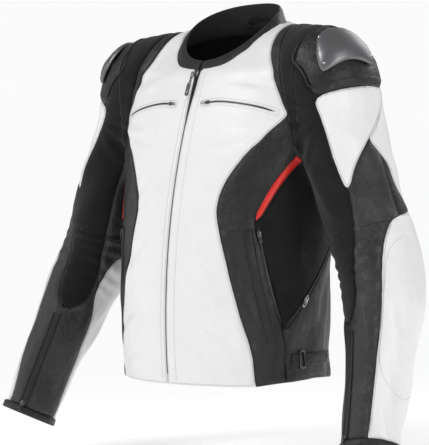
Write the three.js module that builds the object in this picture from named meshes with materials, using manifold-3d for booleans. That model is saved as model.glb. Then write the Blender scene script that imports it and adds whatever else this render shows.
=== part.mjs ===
// A leather riding jacket in its worn shape: a body of sewn leather panels, two sleeves that turn at the
// shoulder and the elbow, shoulder cups, zips, waist straps, a stand-up collar and the parts inside.
// Millimetres, +Z up. The wearer faces -Y and the wearer's left arm is at +X. The origin is the middle
// of the neck opening.
import * as THREE from "three";
import { mergeVertices } from "three/addons/utils/BufferGeometryUtils.js";
import Module from "manifold-3d";

const wasm = await Module();
wasm.setup();

// ---------------------------------------------------------------- driving dimensions
const WALL = 4; // leather with its bonded lining
const SEAM = 0.4; // gap where two panels are sewn together
const CLEAR = 0.5; // gap below a piece that lies on the leather
const AROUND_TORSO = 28;
const AROUND_SLEEVE = 18;

// The front zip lies on an arc in the plane x = 0, so its slider turns about the arc's centre.
const ZIP_ARC = { y: 834.5, z: -472, radius: 1000 };
const ZIP = { top: -88, bottom: -566, halfGap: 4, chainWidth: 6.4, sliderAt: -82 };

// Hem height at the front, at the sides and at the back.
const HEM = { front: -580, side: -572, back: -590 };

// Body sections: height, half width, y of the back, squareness of the superellipse.
const TORSO = [
  [-600, 174, 136, 2.2],
  [-500, 172, 133, 2.2],
  [-400, 174, 131, 2.25],
  [-300, 179, 133, 2.35],
  [-235, 184, 136, 2.45],
  [-180, 192, 136, 2.5],
  [-130, 190, 130, 2.5],
  [-85, 180, 118, 2.4],
  [-55, 164, 108, 2.3],
  [-30, 138, 98, 2.25],
  [-12, 108, 88, 2.2],
  [0, 80, 78, 2.1],
  [8, 56, 66, 2.0],
];
// Above the neckline the front falls back towards the ridge of the shoulders: height, y of the front.
const FRONT_ABOVE_NECKLINE = [
  [-85, -87],
  [-55, -62],
  [-30, -34],
  [-12, -8],
  [0, 12],
  [8, 26],
];

// Sleeve centreline and its half widths: x, y, z, across, fore-and-aft.
const SLEEVE = [
  [86, 18, -56, 44, 46],
  [140, 14, -76, 66, 72],
  [190, 9, -100, 72, 82],
  [216, 8, -172, 63, 80],
  [248, -1, -265, 60, 78],
  [288, 0, -365, 62, 73],
  [321, -26, -450, 59, 64],
  [339, -64, -540, 50, 53],
  [354, -105, -634, 44, 46],
  [360, -117, -664, 45, 47],
];

// Places along the sleeve, counted in rows of that table.
const ARMHOLE_START = 0.3;
const ARM_SEAM = { outside: 1.62, inside: 4.25 };
const ELBOW_BAND = { start: 5.05, end: 5.85 };
const CUFF_BAND = { start: 8.5, end: 9 };

// Neck seam and collar: half widths, fore-and-aft middle, and heights.
const NECK = { across: 97, fore: 82, y: -2 };
const COLLAR = { across: 83, fore: 73, y: 1, frontHeight: 13, backHeight: 39, thickness: 5, endGap: 7.5 };

// ---------------------------------------------------------------- helpers
const lerp = THREE.MathUtils.lerp;
const radians = THREE.MathUtils.degToRad;
const vector = (x, y, z) => new THREE.Vector3(x, y, z);
const signedPower = (value, power) => Math.sign(value) * Math.abs(value) ** power;
const steps = (from, to, count) => Array.from({ length: count + 1 }, (_, i) => lerp(from, to, i / count));

// Cubic Hermite interpolation of one column of a table whose first column rises.
function interpolate(rows, column, at) {
  const last = rows.length - 1;
  const slope = (i) => {
    const a = rows[Math.max(i - 1, 0)];
    const b = rows[Math.min(i + 1, last)];
    return (b[column] - a[column]) / (b[0] - a[0]);
  };
  let i = 0;
  while (i < last - 1 && at > rows[i + 1][0]) i++;
  const h = rows[i + 1][0] - rows[i][0];
  const t = THREE.MathUtils.clamp((at - rows[i][0]) / h, 0, 1);
  const t2 = t * t;
  const t3 = t2 * t;
  return (
    (2 * t3 - 3 * t2 + 1) * rows[i][column] +
    (t3 - 2 * t2 + t) * h * slope(i) +
    (3 * t2 - 2 * t3) * rows[i + 1][column] +
    (t3 - t2) * h * slope(i + 1)
  );
}

// Moves every vertex of a closed three.js geometry by a function of its old place.
function warp(geometry, place) {
  const position = geometry.getAttribute("position");
  const old = vector(0, 0, 0);
  for (let i = 0; i < position.count; i++) {
    const p = place(old.fromBufferAttribute(position, i));
    position.setXYZ(i, p.x, p.y, p.z);
  }
  return geometry;
}

// A closed geometry as a manifold-3d solid, turned right side out if it is inside out.
function solid(geometry) {
  const flat = geometry.index ? geometry.toNonIndexed() : geometry;
  const bare = new THREE.BufferGeometry();
  bare.setAttribute("position", flat.getAttribute("position"));
  const merged = mergeVertices(bare, 1e-4);
  const triVerts = new Uint32Array(merged.index.array);
  const vertProperties = merged.attributes.position.array;
  const build = () => new wasm.Manifold(new wasm.Mesh({ numProp: 3, vertProperties, triVerts }));
  const made = build();
  if (made.volume() >= 0) return made;
  for (let i = 0; i < triVerts.length; i += 3) {
    [triVerts[i + 1], triVerts[i + 2]] = [triVerts[i + 2], triVerts[i + 1]];
  }
  return build();
}

// A manifold-3d solid as a three.js geometry.
function geometryOf(body) {
  const mesh = body.getMesh();
  const place = new Float32Array(mesh.numVert * 3);
  for (let i = 0; i < mesh.numVert; i++) {
    place.set(mesh.vertProperties.subarray(i * mesh.numProp, i * mesh.numProp + 3), i * 3);
  }
  const geometry = new THREE.BufferGeometry();
  geometry.setAttribute("position", new THREE.BufferAttribute(place, 3));
  geometry.setIndex(new THREE.BufferAttribute(mesh.triVerts, 1));
  return geometry;
}

// A warped slab: place(u, v, w) gives the point for u and v across the slab and w through it, 0 to 1 each.
function slab(acrossCount, alongCount, place) {
  const box = new THREE.BoxGeometry(1, 1, 1, acrossCount, alongCount, 1);
  return solid(warp(box, (p) => place(p.x + 0.5, p.y + 0.5, p.z + 0.5)));
}

// A strip that follows path(v), which gives a point and the outward normal there.
function strip(path, { width, lift, thickness, segments = 1, from = 0, to = 1 }) {
  return slab(2, segments, (u, v, w) => {
    const at = lerp(from, to, v);
    const here = path(at);
    const along = path(at + 0.01).point.sub(path(at - 0.01).point).normalize();
    const side = vector(0, 0, 0).crossVectors(along, here.normal).normalize();
    const half = typeof width === "function" ? width(at) / 2 : width / 2;
    return here.point
      .addScaledVector(side, (2 * u - 1) * half)
      .addScaledVector(here.normal, lift + w * thickness);
  });
}

const group = new THREE.Group();
function node(name, body, material) {
  const mesh = new THREE.Mesh(geometryOf(body), material);
  mesh.name = name;
  group.add(mesh);
}
// The same piece on the wearer's left and, mirrored, on the right.
const mirrored = (body) => body.mirror([1, 0, 0]);
function pair(name, body, material) {
  node(`${name}_left`, body, material);
  node(`${name}_right`, mirrored(body), material);
}

const finish = (color, roughness, metalness = 0) =>
  new THREE.MeshStandardMaterial({ color, roughness, metalness });
const WHITE_LEATHER = finish(0xf2f2f0, 0.5);
const BLACK_LEATHER = finish(0x222224, 0.45);
const STRETCH_FABRIC = finish(0x141416, 0.9);
const RED_LEATHER = finish(0xe8302c, 0.45);
const LINING_FABRIC = finish(0x1a1a1c, 0.95);
const ZIP_TEETH = finish(0x1c1c1e, 0.4);
const GUNMETAL = finish(0x3a3a3c, 0.35, 0.9);
const BRIGHT_METAL = finish(0xb8b8ba, 0.3, 1);
const CUP_PLASTIC = finish(0x7c7c7e, 0.18);
const FOAM = finish(0x4a4a48, 0.85);

// ---------------------------------------------------------------- body form
const arcY = (z) => ZIP_ARC.y - Math.sqrt(ZIP_ARC.radius ** 2 - (z - ZIP_ARC.z) ** 2);
const neckline = FRONT_ABOVE_NECKLINE[0][0];
const frontY = (z) => (z <= neckline ? arcY(z) : interpolate(FRONT_ABOVE_NECKLINE, 1, z));

// The body section at height z, moved inwards by inset.
function section(z, inset = 0) {
  const back = interpolate(TORSO, 2, z) - inset;
  const front = frontY(z) + inset;
  return {
    halfWidth: interpolate(TORSO, 1, z) - inset,
    middle: (front + back) / 2,
    halfDepth: (back - front) / 2,
    squareness: interpolate(TORSO, 3, z),
  };
}

function torsoPoint(angle, z, inset = 0) {
  const { halfWidth, middle, halfDepth, squareness } = section(z, inset);
  return vector(
    halfWidth * signedPower(Math.cos(angle), 2 / squareness),
    middle + halfDepth * signedPower(Math.sin(angle), 2 / squareness),
    z,
  );
}

// A point on the leather with its outward normal, from the section angle and the height.
function onTorso(angle, z) {
  const across = torsoPoint(angle + 0.02, z).sub(torsoPoint(angle - 0.02, z));
  const up = torsoPoint(angle, z + 2).sub(torsoPoint(angle, z - 2));
  return { point: torsoPoint(angle, z), normal: across.cross(up).normalize() };
}
// The section angle of the front surface at x, and of the left surface at y.
function angleAtX(x, z) {
  const { halfWidth, squareness } = section(z);
  return -Math.acos(signedPower(x / halfWidth, squareness / 2));
}
function angleAtY(y, z) {
  const { middle, halfDepth, squareness } = section(z);
  return Math.asin(signedPower((y - middle) / halfDepth, squareness / 2));
}
const frontPath = (a, b) => (v) => {
  const z = lerp(a[1], b[1], v);
  return onTorso(angleAtX(lerp(a[0], b[0], v), z), z);
};
const sidePath = (a, b) => (v) => {
  const z = lerp(a[1], b[1], v);
  return onTorso(angleAtY(lerp(a[0], b[0], v), z), z);
};

const hemZ = (angle) =>
  lerp(HEM.side, Math.sin(angle) > 0 ? HEM.back : HEM.front, Math.sin(angle) ** 2);

// A closed loft around the z axis through the sections at the given heights.
function torsoLoft(heights, inset, lowest = (angle) => heights[0]) {
  const rows = heights.length - 1;
  const cylinder = new THREE.CylinderGeometry(1, 1, rows, AROUND_TORSO, rows);
  return solid(
    warp(cylinder, ({ x, y, z }) => {
      const row = Math.round(y + rows / 2);
      if (Math.hypot(x, z) < 0.5) return vector(0, section(heights[row]).middle, heights[row]);
      const angle = Math.atan2(z, x);
      return torsoPoint(angle, row === 0 ? lowest(angle) : heights[row], inset);
    }),
  );
}

const BODY_HEIGHTS = [-500, -420, -340, -270, -210, -160, -115, -85, -58, -34, -14, 0];
const torsoOuter = torsoLoft([HEM.side, ...BODY_HEIGHTS, 8], 0, hemZ);
const torsoInner = torsoLoft([-640, -570, ...BODY_HEIGHTS, 4], WALL);
const torsoGrown = torsoLoft([HEM.side, ...BODY_HEIGHTS, 8], -SEAM, hemZ);

// ---------------------------------------------------------------- sleeve form
const SLEEVE_ROWS = SLEEVE.map((row, i) => [i, ...row]);
const SLEEVE_END = SLEEVE.length - 1;

// Centre, directions and half widths of the left sleeve at a place along it.
function sleeveFrame(s) {
  const column = (index, at) => interpolate(SLEEVE_ROWS, index, at);
  const centre = (at) => vector(column(1, at), column(2, at), column(3, at));
  const along = centre(Math.min(s + 0.001, SLEEVE_END)).sub(centre(Math.max(s - 0.001, 0))).normalize();
  const fore = vector(0, -1, 0);
  fore.addScaledVector(along, -fore.dot(along)).normalize();
  const out = vector(0, 0, 0).crossVectors(fore, along);
  return { centre: centre(s), along, fore, out, across: column(4, s), deep: column(5, s) };
}

// A point on the sleeve: angle 0 faces outwards and 90 degrees faces forwards.
function sleevePoint(angle, s, lift = 0) {
  const f = sleeveFrame(s);
  return f.centre
    .addScaledVector(f.out, (f.across + lift) * Math.cos(angle))
    .addScaledVector(f.fore, (f.deep + lift) * Math.sin(angle));
}
const onSleeve = (angle, s) => ({
  point: sleevePoint(angle, s),
  normal: sleevePoint(angle, s, 1).sub(sleevePoint(angle, s)).normalize(),
});

// A closed tube whose place along the sleeve is at(v, angle), v from 0 to 1.
function sleeveTube(rows, lift, at) {
  const cylinder = new THREE.CylinderGeometry(1, 1, rows, AROUND_SLEEVE, rows);
  return solid(
    warp(cylinder, ({ x, y, z }) => {
      const v = y / rows + 0.5;
      if (Math.hypot(x, z) < 0.5) return sleeveFrame((at(v, 0) + at(v, Math.PI)) / 2).centre;
      const angle = Math.atan2(z, x);
      return sleevePoint(angle, at(v, angle), lift);
    }),
  );
}

// A panel of the sleeve between two angles in degrees and two places along it.
// Rows are closer together near the first place when ease is over 1.
function sleevePanel(degrees, places, options = {}) {
  const { lift = -WALL, thickness = WALL, across = 9, along = 6, ease = 1 } = options;
  const [from, to] = degrees.map(radians);
  return slab(across, along, (u, v, w) => {
    const angle = lerp(from, to, u);
    const [start, end] = places.map((p) => (typeof p === "function" ? p(angle) : p));
    return sleevePoint(angle, lerp(start, end, v ** ease), lift + w * thickness);
  });
}

// The oblique seam between the shoulder stretch panel and the arm.
const armSeam = (shift) => (angle) =>
  lerp(ARM_SEAM.outside, ARM_SEAM.inside, (1 - Math.cos(angle)) / 2) + shift;

// ---------------------------------------------------------------- cutting outlines
// An outline in the x-z plane pushed along y, and an outline in the y-z plane pushed along x.
function prism(outline, depth, place) {
  const shape = new THREE.Shape(outline.map(([a, z]) => new THREE.Vector2(a, z)));
  return solid(warp(new THREE.ExtrudeGeometry(shape, { depth, bevelEnabled: false }), place));
}
const throughFront = (outline, y0, y1) => prism(outline, y1 - y0, (p) => vector(p.x, y0 + p.z, p.y));
const throughSide = (outline, x0, x1) => prism(outline, x1 - x0, (p) => vector(x0 + p.z, p.x, p.y));

// The seam between the white front and the black side panel, as x and z on the left half.
const FRONT_SEAM = [
  [146, -620],
  [133, -533],
  [110, -410],
  [93, -348],
  [84, -314],
  [84, -290],
  [94, -260],
  [114, -228],
  [138, -197],
  [166, -160],
  [300, -150],
];
const SHOULDER_SEAM_Y = 14;
const SIDE_SEAM_Y = 74;
const LUMBAR_SEAM_Z = -300;

const shifted = (outline, shift) => outline.map(([x, z]) => [x + shift, z]);

// ---------------------------------------------------------------- body panels
const armBore = sleeveTube(6, -WALL, (v) => lerp(0.9, 4.4, v));
const neckHole = solid(
  warp(new THREE.CylinderGeometry(1, 1, 1, AROUND_TORSO, 1), ({ x, y, z }) =>
    vector(NECK.across * x, NECK.y + NECK.fore * z, 150 * y - 15),
  ),
);
const bodyShell = torsoOuter
  .subtract(torsoInner)
  .subtract(neckHole)
  .subtract(armBore)
  .subtract(mirrored(armBore));

const frontCut = throughFront(
  [[ZIP.halfGap, -640], ...shifted(FRONT_SEAM, -SEAM / 2), [300, 60], [ZIP.halfGap, 60]],
  -260,
  SHOULDER_SEAM_Y - SEAM,
);
const sideCut = throughFront([...shifted(FRONT_SEAM, SEAM / 2), [300, -640]], -260, SIDE_SEAM_Y - SEAM);
const backOutline = (z0, z1) => [
  [Math.min(z0, z1) < -200 ? SIDE_SEAM_Y : SHOULDER_SEAM_Y, z0],
  [260, z0],
  [260, z1],
  [SHOULDER_SEAM_Y, z1],
  [SHOULDER_SEAM_Y, -120],
  [SIDE_SEAM_Y, -120],
];
pair("front_panel", bodyShell.intersect(frontCut), WHITE_LEATHER);
pair("side_panel", bodyShell.intersect(sideCut), BLACK_LEATHER);
node(
  "back_upper_panel",
  bodyShell.intersect(throughSide(backOutline(LUMBAR_SEAM_Z + SEAM, 60), -300, 300)),
  WHITE_LEATHER,
);
const lumbarCut = throughFront(
  [
    [-300, -640],
    [300, -640],
    [300, LUMBAR_SEAM_Z],
    [-300, LUMBAR_SEAM_Z],
  ],
  SIDE_SEAM_Y,
  260,
);
node("back_lower_panel", bodyShell.intersect(lumbarCut), BLACK_LEATHER);

pair(
  "side_stripe",
  strip(frontPath([139, -321], [178, -222]), {
    width: (v) => 9 + 5 * v,
    lift: CLEAR,
    thickness: 1.4,
    segments: 6,
  }),
  RED_LEATHER,
);

// ---------------------------------------------------------------- collar
const neckSeamZ = (sine) => -26 + 40 * sine - 14 * sine ** 2;
function collarPoint(angle, v, w) {
  const sine = Math.sin(angle);
  const height = lerp(COLLAR.frontHeight, COLLAR.backHeight, (1 + sine) / 2);
  const inset = (1 - w) * COLLAR.thickness;
  const across = lerp(NECK.across, COLLAR.across, v) - inset;
  const fore = lerp(NECK.fore, COLLAR.fore, v) - inset;
  const y = lerp(NECK.y, COLLAR.y, v);
  return vector(across * Math.cos(angle), y + fore * sine, neckSeamZ(sine) + 1 + v * height);
}
const collarHalfGap = Math.asin(COLLAR.endGap / NECK.across);
node(
  "collar",
  slab(26, 2, (u, v, w) => {
    const angle = lerp(-Math.PI / 2 + collarHalfGap, (3 / 2) * Math.PI - collarHalfGap, u);
    return collarPoint(angle, v, w);
  }).subtract(torsoGrown),
  BLACK_LEATHER,
);

// ---------------------------------------------------------------- front zip
const zipPath = (v) => {
  const z = lerp(ZIP.bottom, ZIP.top, v);
  const out = vector(0, arcY(z) - ZIP_ARC.y, z - ZIP_ARC.z).normalize();
  return { point: vector(0, arcY(z), z), normal: out };
};
node(
  "front_zip_chain",
  strip(zipPath, { width: ZIP.chainWidth, lift: -2.2, thickness: 2, segments: 20 }),
  ZIP_TEETH,
);
node(
  "zip_wind_flap",
  strip(zipPath, { width: 30, lift: -WALL - 4.2, thickness: 1.6, segments: 20 }),
  LINING_FABRIC,
);
const zipSpan = ZIP.top - ZIP.bottom;
const alongZip = (z) => (z - ZIP.bottom) / zipSpan;
const slider = strip(zipPath, {
  width: 10,
  lift: 0.7,
  thickness: 4.6,
  from: alongZip(ZIP.sliderAt - 14),
  to: alongZip(ZIP.sliderAt),
});
node("front_zip_slider", slider, GUNMETAL);
node(
  "front_zip_pull",
  strip(zipPath, {
    width: 7,
    lift: 5.8,
    thickness: 2.4,
    segments: 3,
    from: alongZip(ZIP.sliderAt - 46),
    to: alongZip(ZIP.sliderAt - 6),
  }),
  BLACK_LEATHER,
);

// ---------------------------------------------------------------- zips that lie on a curved panel
// A closed zip: teeth along the path and a slider on them, which turns on an arc through the path.
function trackZip(name, path, { width = 5, sliderFrom, sliderTo }) {
  pair(`${name}_zip`, strip(path, { width, lift: CLEAR, thickness: 1.2, segments: 10 }), ZIP_TEETH);
  pair(
    `${name}_slider`,
    strip(path, { width: width + 3, lift: CLEAR + 2.4, thickness: 3, from: sliderFrom, to: sliderTo }),
    GUNMETAL,
  );
}
const VENT = { inner: [30, -137], outer: [152, -153] };
const POCKET = { top: [142, -334], bottom: [161, -480] };
const SIDE_ZIP = { front: [-72, -493], back: [60, -352] };
trackZip("chest_vent", frontPath(VENT.inner, VENT.outer), { sliderFrom: 0.03, sliderTo: 0.11 });
trackZip("pocket", frontPath(POCKET.top, POCKET.bottom), { sliderFrom: 0.02, sliderTo: 0.09 });
trackZip("side", sidePath(SIDE_ZIP.front, SIDE_ZIP.back), { sliderFrom: 0.3, sliderTo: 0.37 });

pair(
  "pocket_welt",
  strip(frontPath([130, -336], [154, -512]), {
    width: 13,
    lift: CLEAR,
    thickness: 2.4,
    segments: 8,
  }),
  BLACK_LEATHER,
);

// ---------------------------------------------------------------- waist straps
const STRAP = { front: -30, back: 48, z: -540, height: 19 };
const strapPath = sidePath([STRAP.front, STRAP.z], [STRAP.back, STRAP.z]);
pair(
  "waist_strap",
  strip(strapPath, { width: STRAP.height, lift: 1, thickness: 2.4, segments: 5, from: 0.04 }),
  BLACK_LEATHER,
);
const ringPath = sidePath([STRAP.front - 3, STRAP.z], [STRAP.front + 1, STRAP.z]);
const ringBlank = strip(ringPath, { width: 30, lift: 0.6, thickness: 2.6, from: -1.4, to: 0.55 });
const ringHole = strip(ringPath, { width: 22, lift: -4, thickness: 14, from: -0.75, to: -0.15 });
pair("waist_ring", ringBlank.subtract(ringHole), GUNMETAL);

// ---------------------------------------------------------------- sleeves
const SLEEVE_SPLIT = { front: 70, back: -110 };
const GAP_DEGREES = 0.5;
const outerSide = [SLEEVE_SPLIT.back + GAP_DEGREES, SLEEVE_SPLIT.front - GAP_DEGREES];
const innerSide = [SLEEVE_SPLIT.front, 360 + SLEEVE_SPLIT.back];
const upperArm = [armSeam(0), ELBOW_BAND.start - 0.006];
// The stretch panel ends where the arm's panels start, through the whole wall.
const beyondSeam = { lift: -WALL - 4, thickness: WALL + 9, along: 10, ease: 1.8 };
const beyondArm = [armSeam(-0.03), ELBOW_BAND.start];
const shoulderOutside = sleeveTube(7, 0, (v, angle) => lerp(ARMHOLE_START, armSeam(0.15)(angle), v));
const shoulderInside = sleeveTube(7, -WALL, (v, angle) => lerp(ARMHOLE_START, armSeam(0.2)(angle), v));
pair(
  "shoulder_stretch",
  shoulderOutside
    .subtract(shoulderInside)
    .subtract(torsoGrown)
    .subtract(sleevePanel([outerSide[0] - 1, outerSide[1] + 1], beyondArm, beyondSeam))
    .subtract(sleevePanel([innerSide[0] - 1, innerSide[1] + 1], beyondArm, beyondSeam)),
  STRETCH_FABRIC,
);
pair("upper_sleeve_outer", sleevePanel(outerSide, upperArm, { along: 8, ease: 1.5 }), WHITE_LEATHER);
pair("upper_sleeve_inner", sleevePanel(innerSide, upperArm, { along: 5 }), STRETCH_FABRIC);

const elbowOutside = sleeveTube(3, 0, (v) => lerp(ELBOW_BAND.start, ELBOW_BAND.end, v));
const elbowInside = sleeveTube(3, -WALL, (v) => lerp(ELBOW_BAND.start - 0.05, ELBOW_BAND.end + 0.05, v));
pair("elbow_stretch", elbowOutside.subtract(elbowInside), STRETCH_FABRIC);

const foreArm = [ELBOW_BAND.end + 0.006, CUFF_BAND.start - 0.012];
pair("forearm_outer", sleevePanel(outerSide, foreArm, { along: 4 }), WHITE_LEATHER);
pair("forearm_inner", sleevePanel(innerSide, foreArm, { along: 4 }), BLACK_LEATHER);

const cuffOutside = sleeveTube(1, 0.4, (v) => lerp(CUFF_BAND.start, CUFF_BAND.end, v));
const cuffInside = sleeveTube(1, -WALL, (v) => lerp(CUFF_BAND.start - 0.2, CUFF_BAND.end, v));
const cuffEnd = sleeveFrame(CUFF_BAND.end);
const cuffMouth = solid(
  warp(new THREE.CylinderGeometry(1, 1, 1, AROUND_SLEEVE, 1), ({ x, y, z }) => {
    const reach = Math.hypot(x, z) < 0.5 ? 0 : 1;
    const angle = Math.atan2(z, x);
    return cuffEnd.centre
      .clone()
      .addScaledVector(cuffEnd.out, reach * (cuffEnd.across - WALL - 0.2) * Math.cos(angle))
      .addScaledVector(cuffEnd.fore, reach * (cuffEnd.deep - WALL - 0.2) * Math.sin(angle))
      .addScaledVector(cuffEnd.along, 20 * y + 5);
  }),
);
pair("cuff_band", cuffOutside.subtract(cuffInside).subtract(cuffMouth), BLACK_LEATHER);

// The slider of the cuff zip, on the inner side of the forearm.
const CUFF_ZIP = { angle: radians(112), open: 6.6, closed: 8.45 };
const cuffPath = (v) => onSleeve(CUFF_ZIP.angle, lerp(CUFF_ZIP.open, CUFF_ZIP.closed, v));
pair(
  "cuff_slider",
  strip(cuffPath, { width: 8, lift: CLEAR + 2.2, thickness: 3, from: 0.9, to: 0.98 }),
  BRIGHT_METAL,
);

// Shoulder cap, the hard cup on it, and the armour pockets' pads inside.
const CAP = { degrees: [-70, 78], places: [1.66, 2.46] };
pair(
  "shoulder_cap",
  sleevePanel(CAP.degrees, CAP.places, { lift: 1.4, thickness: 2, across: 8, along: 6 }),
  BLACK_LEATHER,
);
const CUP = { back: radians(-24), front: radians(64), from: 1.7, to: 2.22, rise: 7 };
pair(
  "shoulder_cup",
  slab(8, 5, (u, v, w) => {
    const crown = Math.sin(Math.PI * u) * Math.sin(Math.PI * v);
    const s = lerp(CUP.from, CUP.to, v);
    return sleevePoint(lerp(CUP.back, CUP.front, u), s, 4.3 + w * (1.6 + CUP.rise * crown));
  }),
  CUP_PLASTIC,
);
pair(
  "shoulder_armour",
  sleevePanel([-50, 50], [1.74, 2.3], { lift: -WALL - 11, thickness: 6, across: 5, along: 4 }),
  FOAM,
);
pair(
  "elbow_armour",
  sleevePanel([-110, -30], [5.95, 7.1], { lift: -WALL - 9, thickness: 6, across: 4, along: 4 }),
  FOAM,
);

// ---------------------------------------------------------------- inside the body
const LINING_HEIGHTS = [-420, -300, -210, -150, -110];
const liningOuter = torsoLoft([-535, ...LINING_HEIGHTS, -90], WALL + 3);
const liningInner = torsoLoft([-545, ...LINING_HEIGHTS, -80], WALL + 4.4);
const liningOpening = throughFront(
  [
    [-22, -600],
    [22, -600],
    [22, 0],
    [-22, 0],
  ],
  -260,
  0,
);
node(
  "body_lining",
  liningOuter
    .subtract(liningInner)
    .subtract(armBore)
    .subtract(mirrored(armBore))
    .subtract(neckHole)
    .subtract(liningOpening),
  LINING_FABRIC,
);

// A flat rectangular piece with its thickness along y.
function flatPiece(halfWidth, y0, y1, z0, z1) {
  return slab(1, 1, (u, v, w) => vector(lerp(-halfWidth, halfWidth, u), lerp(y0, y1, w), lerp(z0, z1, v)));
}
const PROTECTOR = { halfWidth: 100, y: 84, thickness: 13, top: -120, bottom: -470 };
node(
  "protector_pocket",
  flatPiece(PROTECTOR.halfWidth + 14, PROTECTOR.y - 3, PROTECTOR.y - 0.6, -484, -112),
  LINING_FABRIC,
);
node(
  "back_protector",
  slab(6, 8, (u, v, w) => {
    const taper = 1 - 0.25 * v ** 3;
    const crown = 6 * Math.sin(Math.PI * u);
    return vector(
      PROTECTOR.halfWidth * taper * (2 * u - 1),
      PROTECTOR.y + w * (PROTECTOR.thickness + crown),
      lerp(PROTECTOR.bottom, PROTECTOR.top, v),
    );
  }),
  FOAM,
);
const TROUSER_ZIP = { halfWidth: 90, y: 96, thickness: 3, top: -546, height: 14 };
node(
  "trouser_zip_strip",
  flatPiece(
    TROUSER_ZIP.halfWidth,
    TROUSER_ZIP.y,
    TROUSER_ZIP.y + TROUSER_ZIP.thickness,
    TROUSER_ZIP.top - TROUSER_ZIP.height,
    TROUSER_ZIP.top,
  ),
  ZIP_TEETH,
);
const LOOP = { radius: 14, tube: 2, y: 66, z: 6 };
const loop = new THREE.TorusGeometry(LOOP.radius, LOOP.tube, 6, 16);
node(
  "hanger_loop",
  solid(warp(loop, ({ x, y, z }) => vector(1.6 * x, LOOP.y + z, LOOP.z + 0.6 * y))),
  STRETCH_FABRIC,
);

export default group;
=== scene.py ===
import math
import bpy
import numpy as np
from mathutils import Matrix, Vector
from mathutils.bvhtree import BVHTree
from mathutils.kdtree import KDTree


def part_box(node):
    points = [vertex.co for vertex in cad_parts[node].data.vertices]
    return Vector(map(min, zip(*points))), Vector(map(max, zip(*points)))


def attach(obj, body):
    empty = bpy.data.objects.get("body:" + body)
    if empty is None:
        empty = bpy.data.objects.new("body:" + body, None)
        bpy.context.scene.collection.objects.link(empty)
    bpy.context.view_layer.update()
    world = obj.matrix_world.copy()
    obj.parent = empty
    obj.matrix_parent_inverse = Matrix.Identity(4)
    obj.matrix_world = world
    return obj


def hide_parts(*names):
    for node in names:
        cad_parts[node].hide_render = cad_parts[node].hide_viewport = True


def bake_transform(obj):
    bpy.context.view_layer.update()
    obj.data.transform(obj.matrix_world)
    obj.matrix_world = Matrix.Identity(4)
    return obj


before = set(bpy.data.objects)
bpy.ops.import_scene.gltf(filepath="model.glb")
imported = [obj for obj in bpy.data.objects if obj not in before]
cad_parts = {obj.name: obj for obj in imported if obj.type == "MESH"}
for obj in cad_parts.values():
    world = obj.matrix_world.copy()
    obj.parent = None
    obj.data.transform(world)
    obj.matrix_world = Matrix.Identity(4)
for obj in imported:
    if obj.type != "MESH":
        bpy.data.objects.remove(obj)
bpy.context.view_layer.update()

# Lengths are in millimetres until a mesh is made. The wearer faces -Y and the left arm is at +X.
MM = 0.001
CELL = 4.0          # spacing of the grid that the leather skin is drawn on
LEATHER = 2.2       # thickness of a panel
STITCH_PITCH = 3.6
PANEL_PUFF = 0.8    # how far a panel stands proud between its seams
CAP_PUFF = 2.6      # the same for the padded shoulder cap
STITCH_INSET = 2.8  # from a panel's edge to its top stitching
THREAD = 0.34       # radius of a stitch
FAR = 60.0     # a distance that is simply far, in fields that only matter near their zero line

CAMERA = {"azimuth": 40.0, "elevation": 1.0, "distance": 2.95, "right": -0.0289, "up": -0.3275, "lens": 145.5}

# The form, as in the CAD model: height, half width, y of the back, squareness.
TORSO = np.array([
    [-700, 176, 138, 2.2], [-600, 174, 136, 2.2], [-500, 172, 133, 2.2], [-400, 174, 131, 2.25],
    [-300, 179, 133, 2.35], [-235, 184, 136, 2.45], [-180, 192, 136, 2.5], [-130, 190, 130, 2.5],
    [-85, 180, 118, 2.4], [-55, 164, 108, 2.3], [-30, 138, 98, 2.25], [-12, 108, 88, 2.2],
    [0, 80, 78, 2.1], [8, 56, 66, 2.0]], float)
FRONT_ABOVE_NECKLINE = np.array([[-85, -87], [-55, -62], [-30, -34], [-12, -8], [0, 12], [8, 26]], float)
NECKLINE_EASE = 18.0
ZIP_ARC = {"y": 834.5, "z": -472.0, "radius": 1000.0}
HEM = {"front": -580.0, "side": -572.0, "back": -590.0}
# Sleeve centreline and half widths: x, y, z, across, fore and aft.
SLEEVE = np.array([
    [86, 18, -56, 44, 46], [140, 14, -76, 66, 72], [190, 9, -100, 72, 82], [216, 8, -172, 63, 80],
    [248, -1, -265, 60, 78], [288, 0, -365, 62, 73], [321, -26, -450, 59, 64], [339, -64, -540, 50, 53],
    [354, -105, -634, 44, 46], [360, -117, -664, 45, 47]], float)
SLEEVE_END = len(SLEEVE) - 1
NECK = {"across": 97.0, "fore": 82.0, "y": -2.0}
COLLAR = {"across": 83.0, "fore": 73.0, "y": 1.0, "front": 13.0, "back": 39.0, "thickness": 5.0,
          "gap": 2.6}
SIDE_SEAM_Y = 74.0
SHOULDER_SEAM_Y = 14.0


# ------------------------------------------------------------------ curves and noise
def hermite(xs, vs, at):
    """Cubic Hermite interpolation with the CAD model's slopes."""
    slopes = np.empty_like(vs)
    slopes[1:-1] = (vs[2:] - vs[:-2]) / (xs[2:] - xs[:-2])
    slopes[0] = (vs[1] - vs[0]) / (xs[1] - xs[0])
    slopes[-1] = (vs[-1] - vs[-2]) / (xs[-1] - xs[-2])
    i = np.clip(np.searchsorted(xs, at, side="right") - 1, 0, len(xs) - 2)
    h = xs[i + 1] - xs[i]
    t = np.clip((at - xs[i]) / h, 0, 1)
    return (
        (2 * t**3 - 3 * t**2 + 1) * vs[i]
        + (t**3 - 2 * t**2 + t) * h * slopes[i]
        + (3 * t**2 - 2 * t**3) * vs[i + 1]
        + (t**3 - t**2) * h * slopes[i + 1]
    )


def smoothstep(a, b, x):
    t = np.clip((x - a) / (b - a), 0, 1)
    return t * t * (3 - 2 * t)


def unit(v):
    """Rows of vectors made one long."""
    return v / np.linalg.norm(v, axis=1)[:, None]


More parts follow.
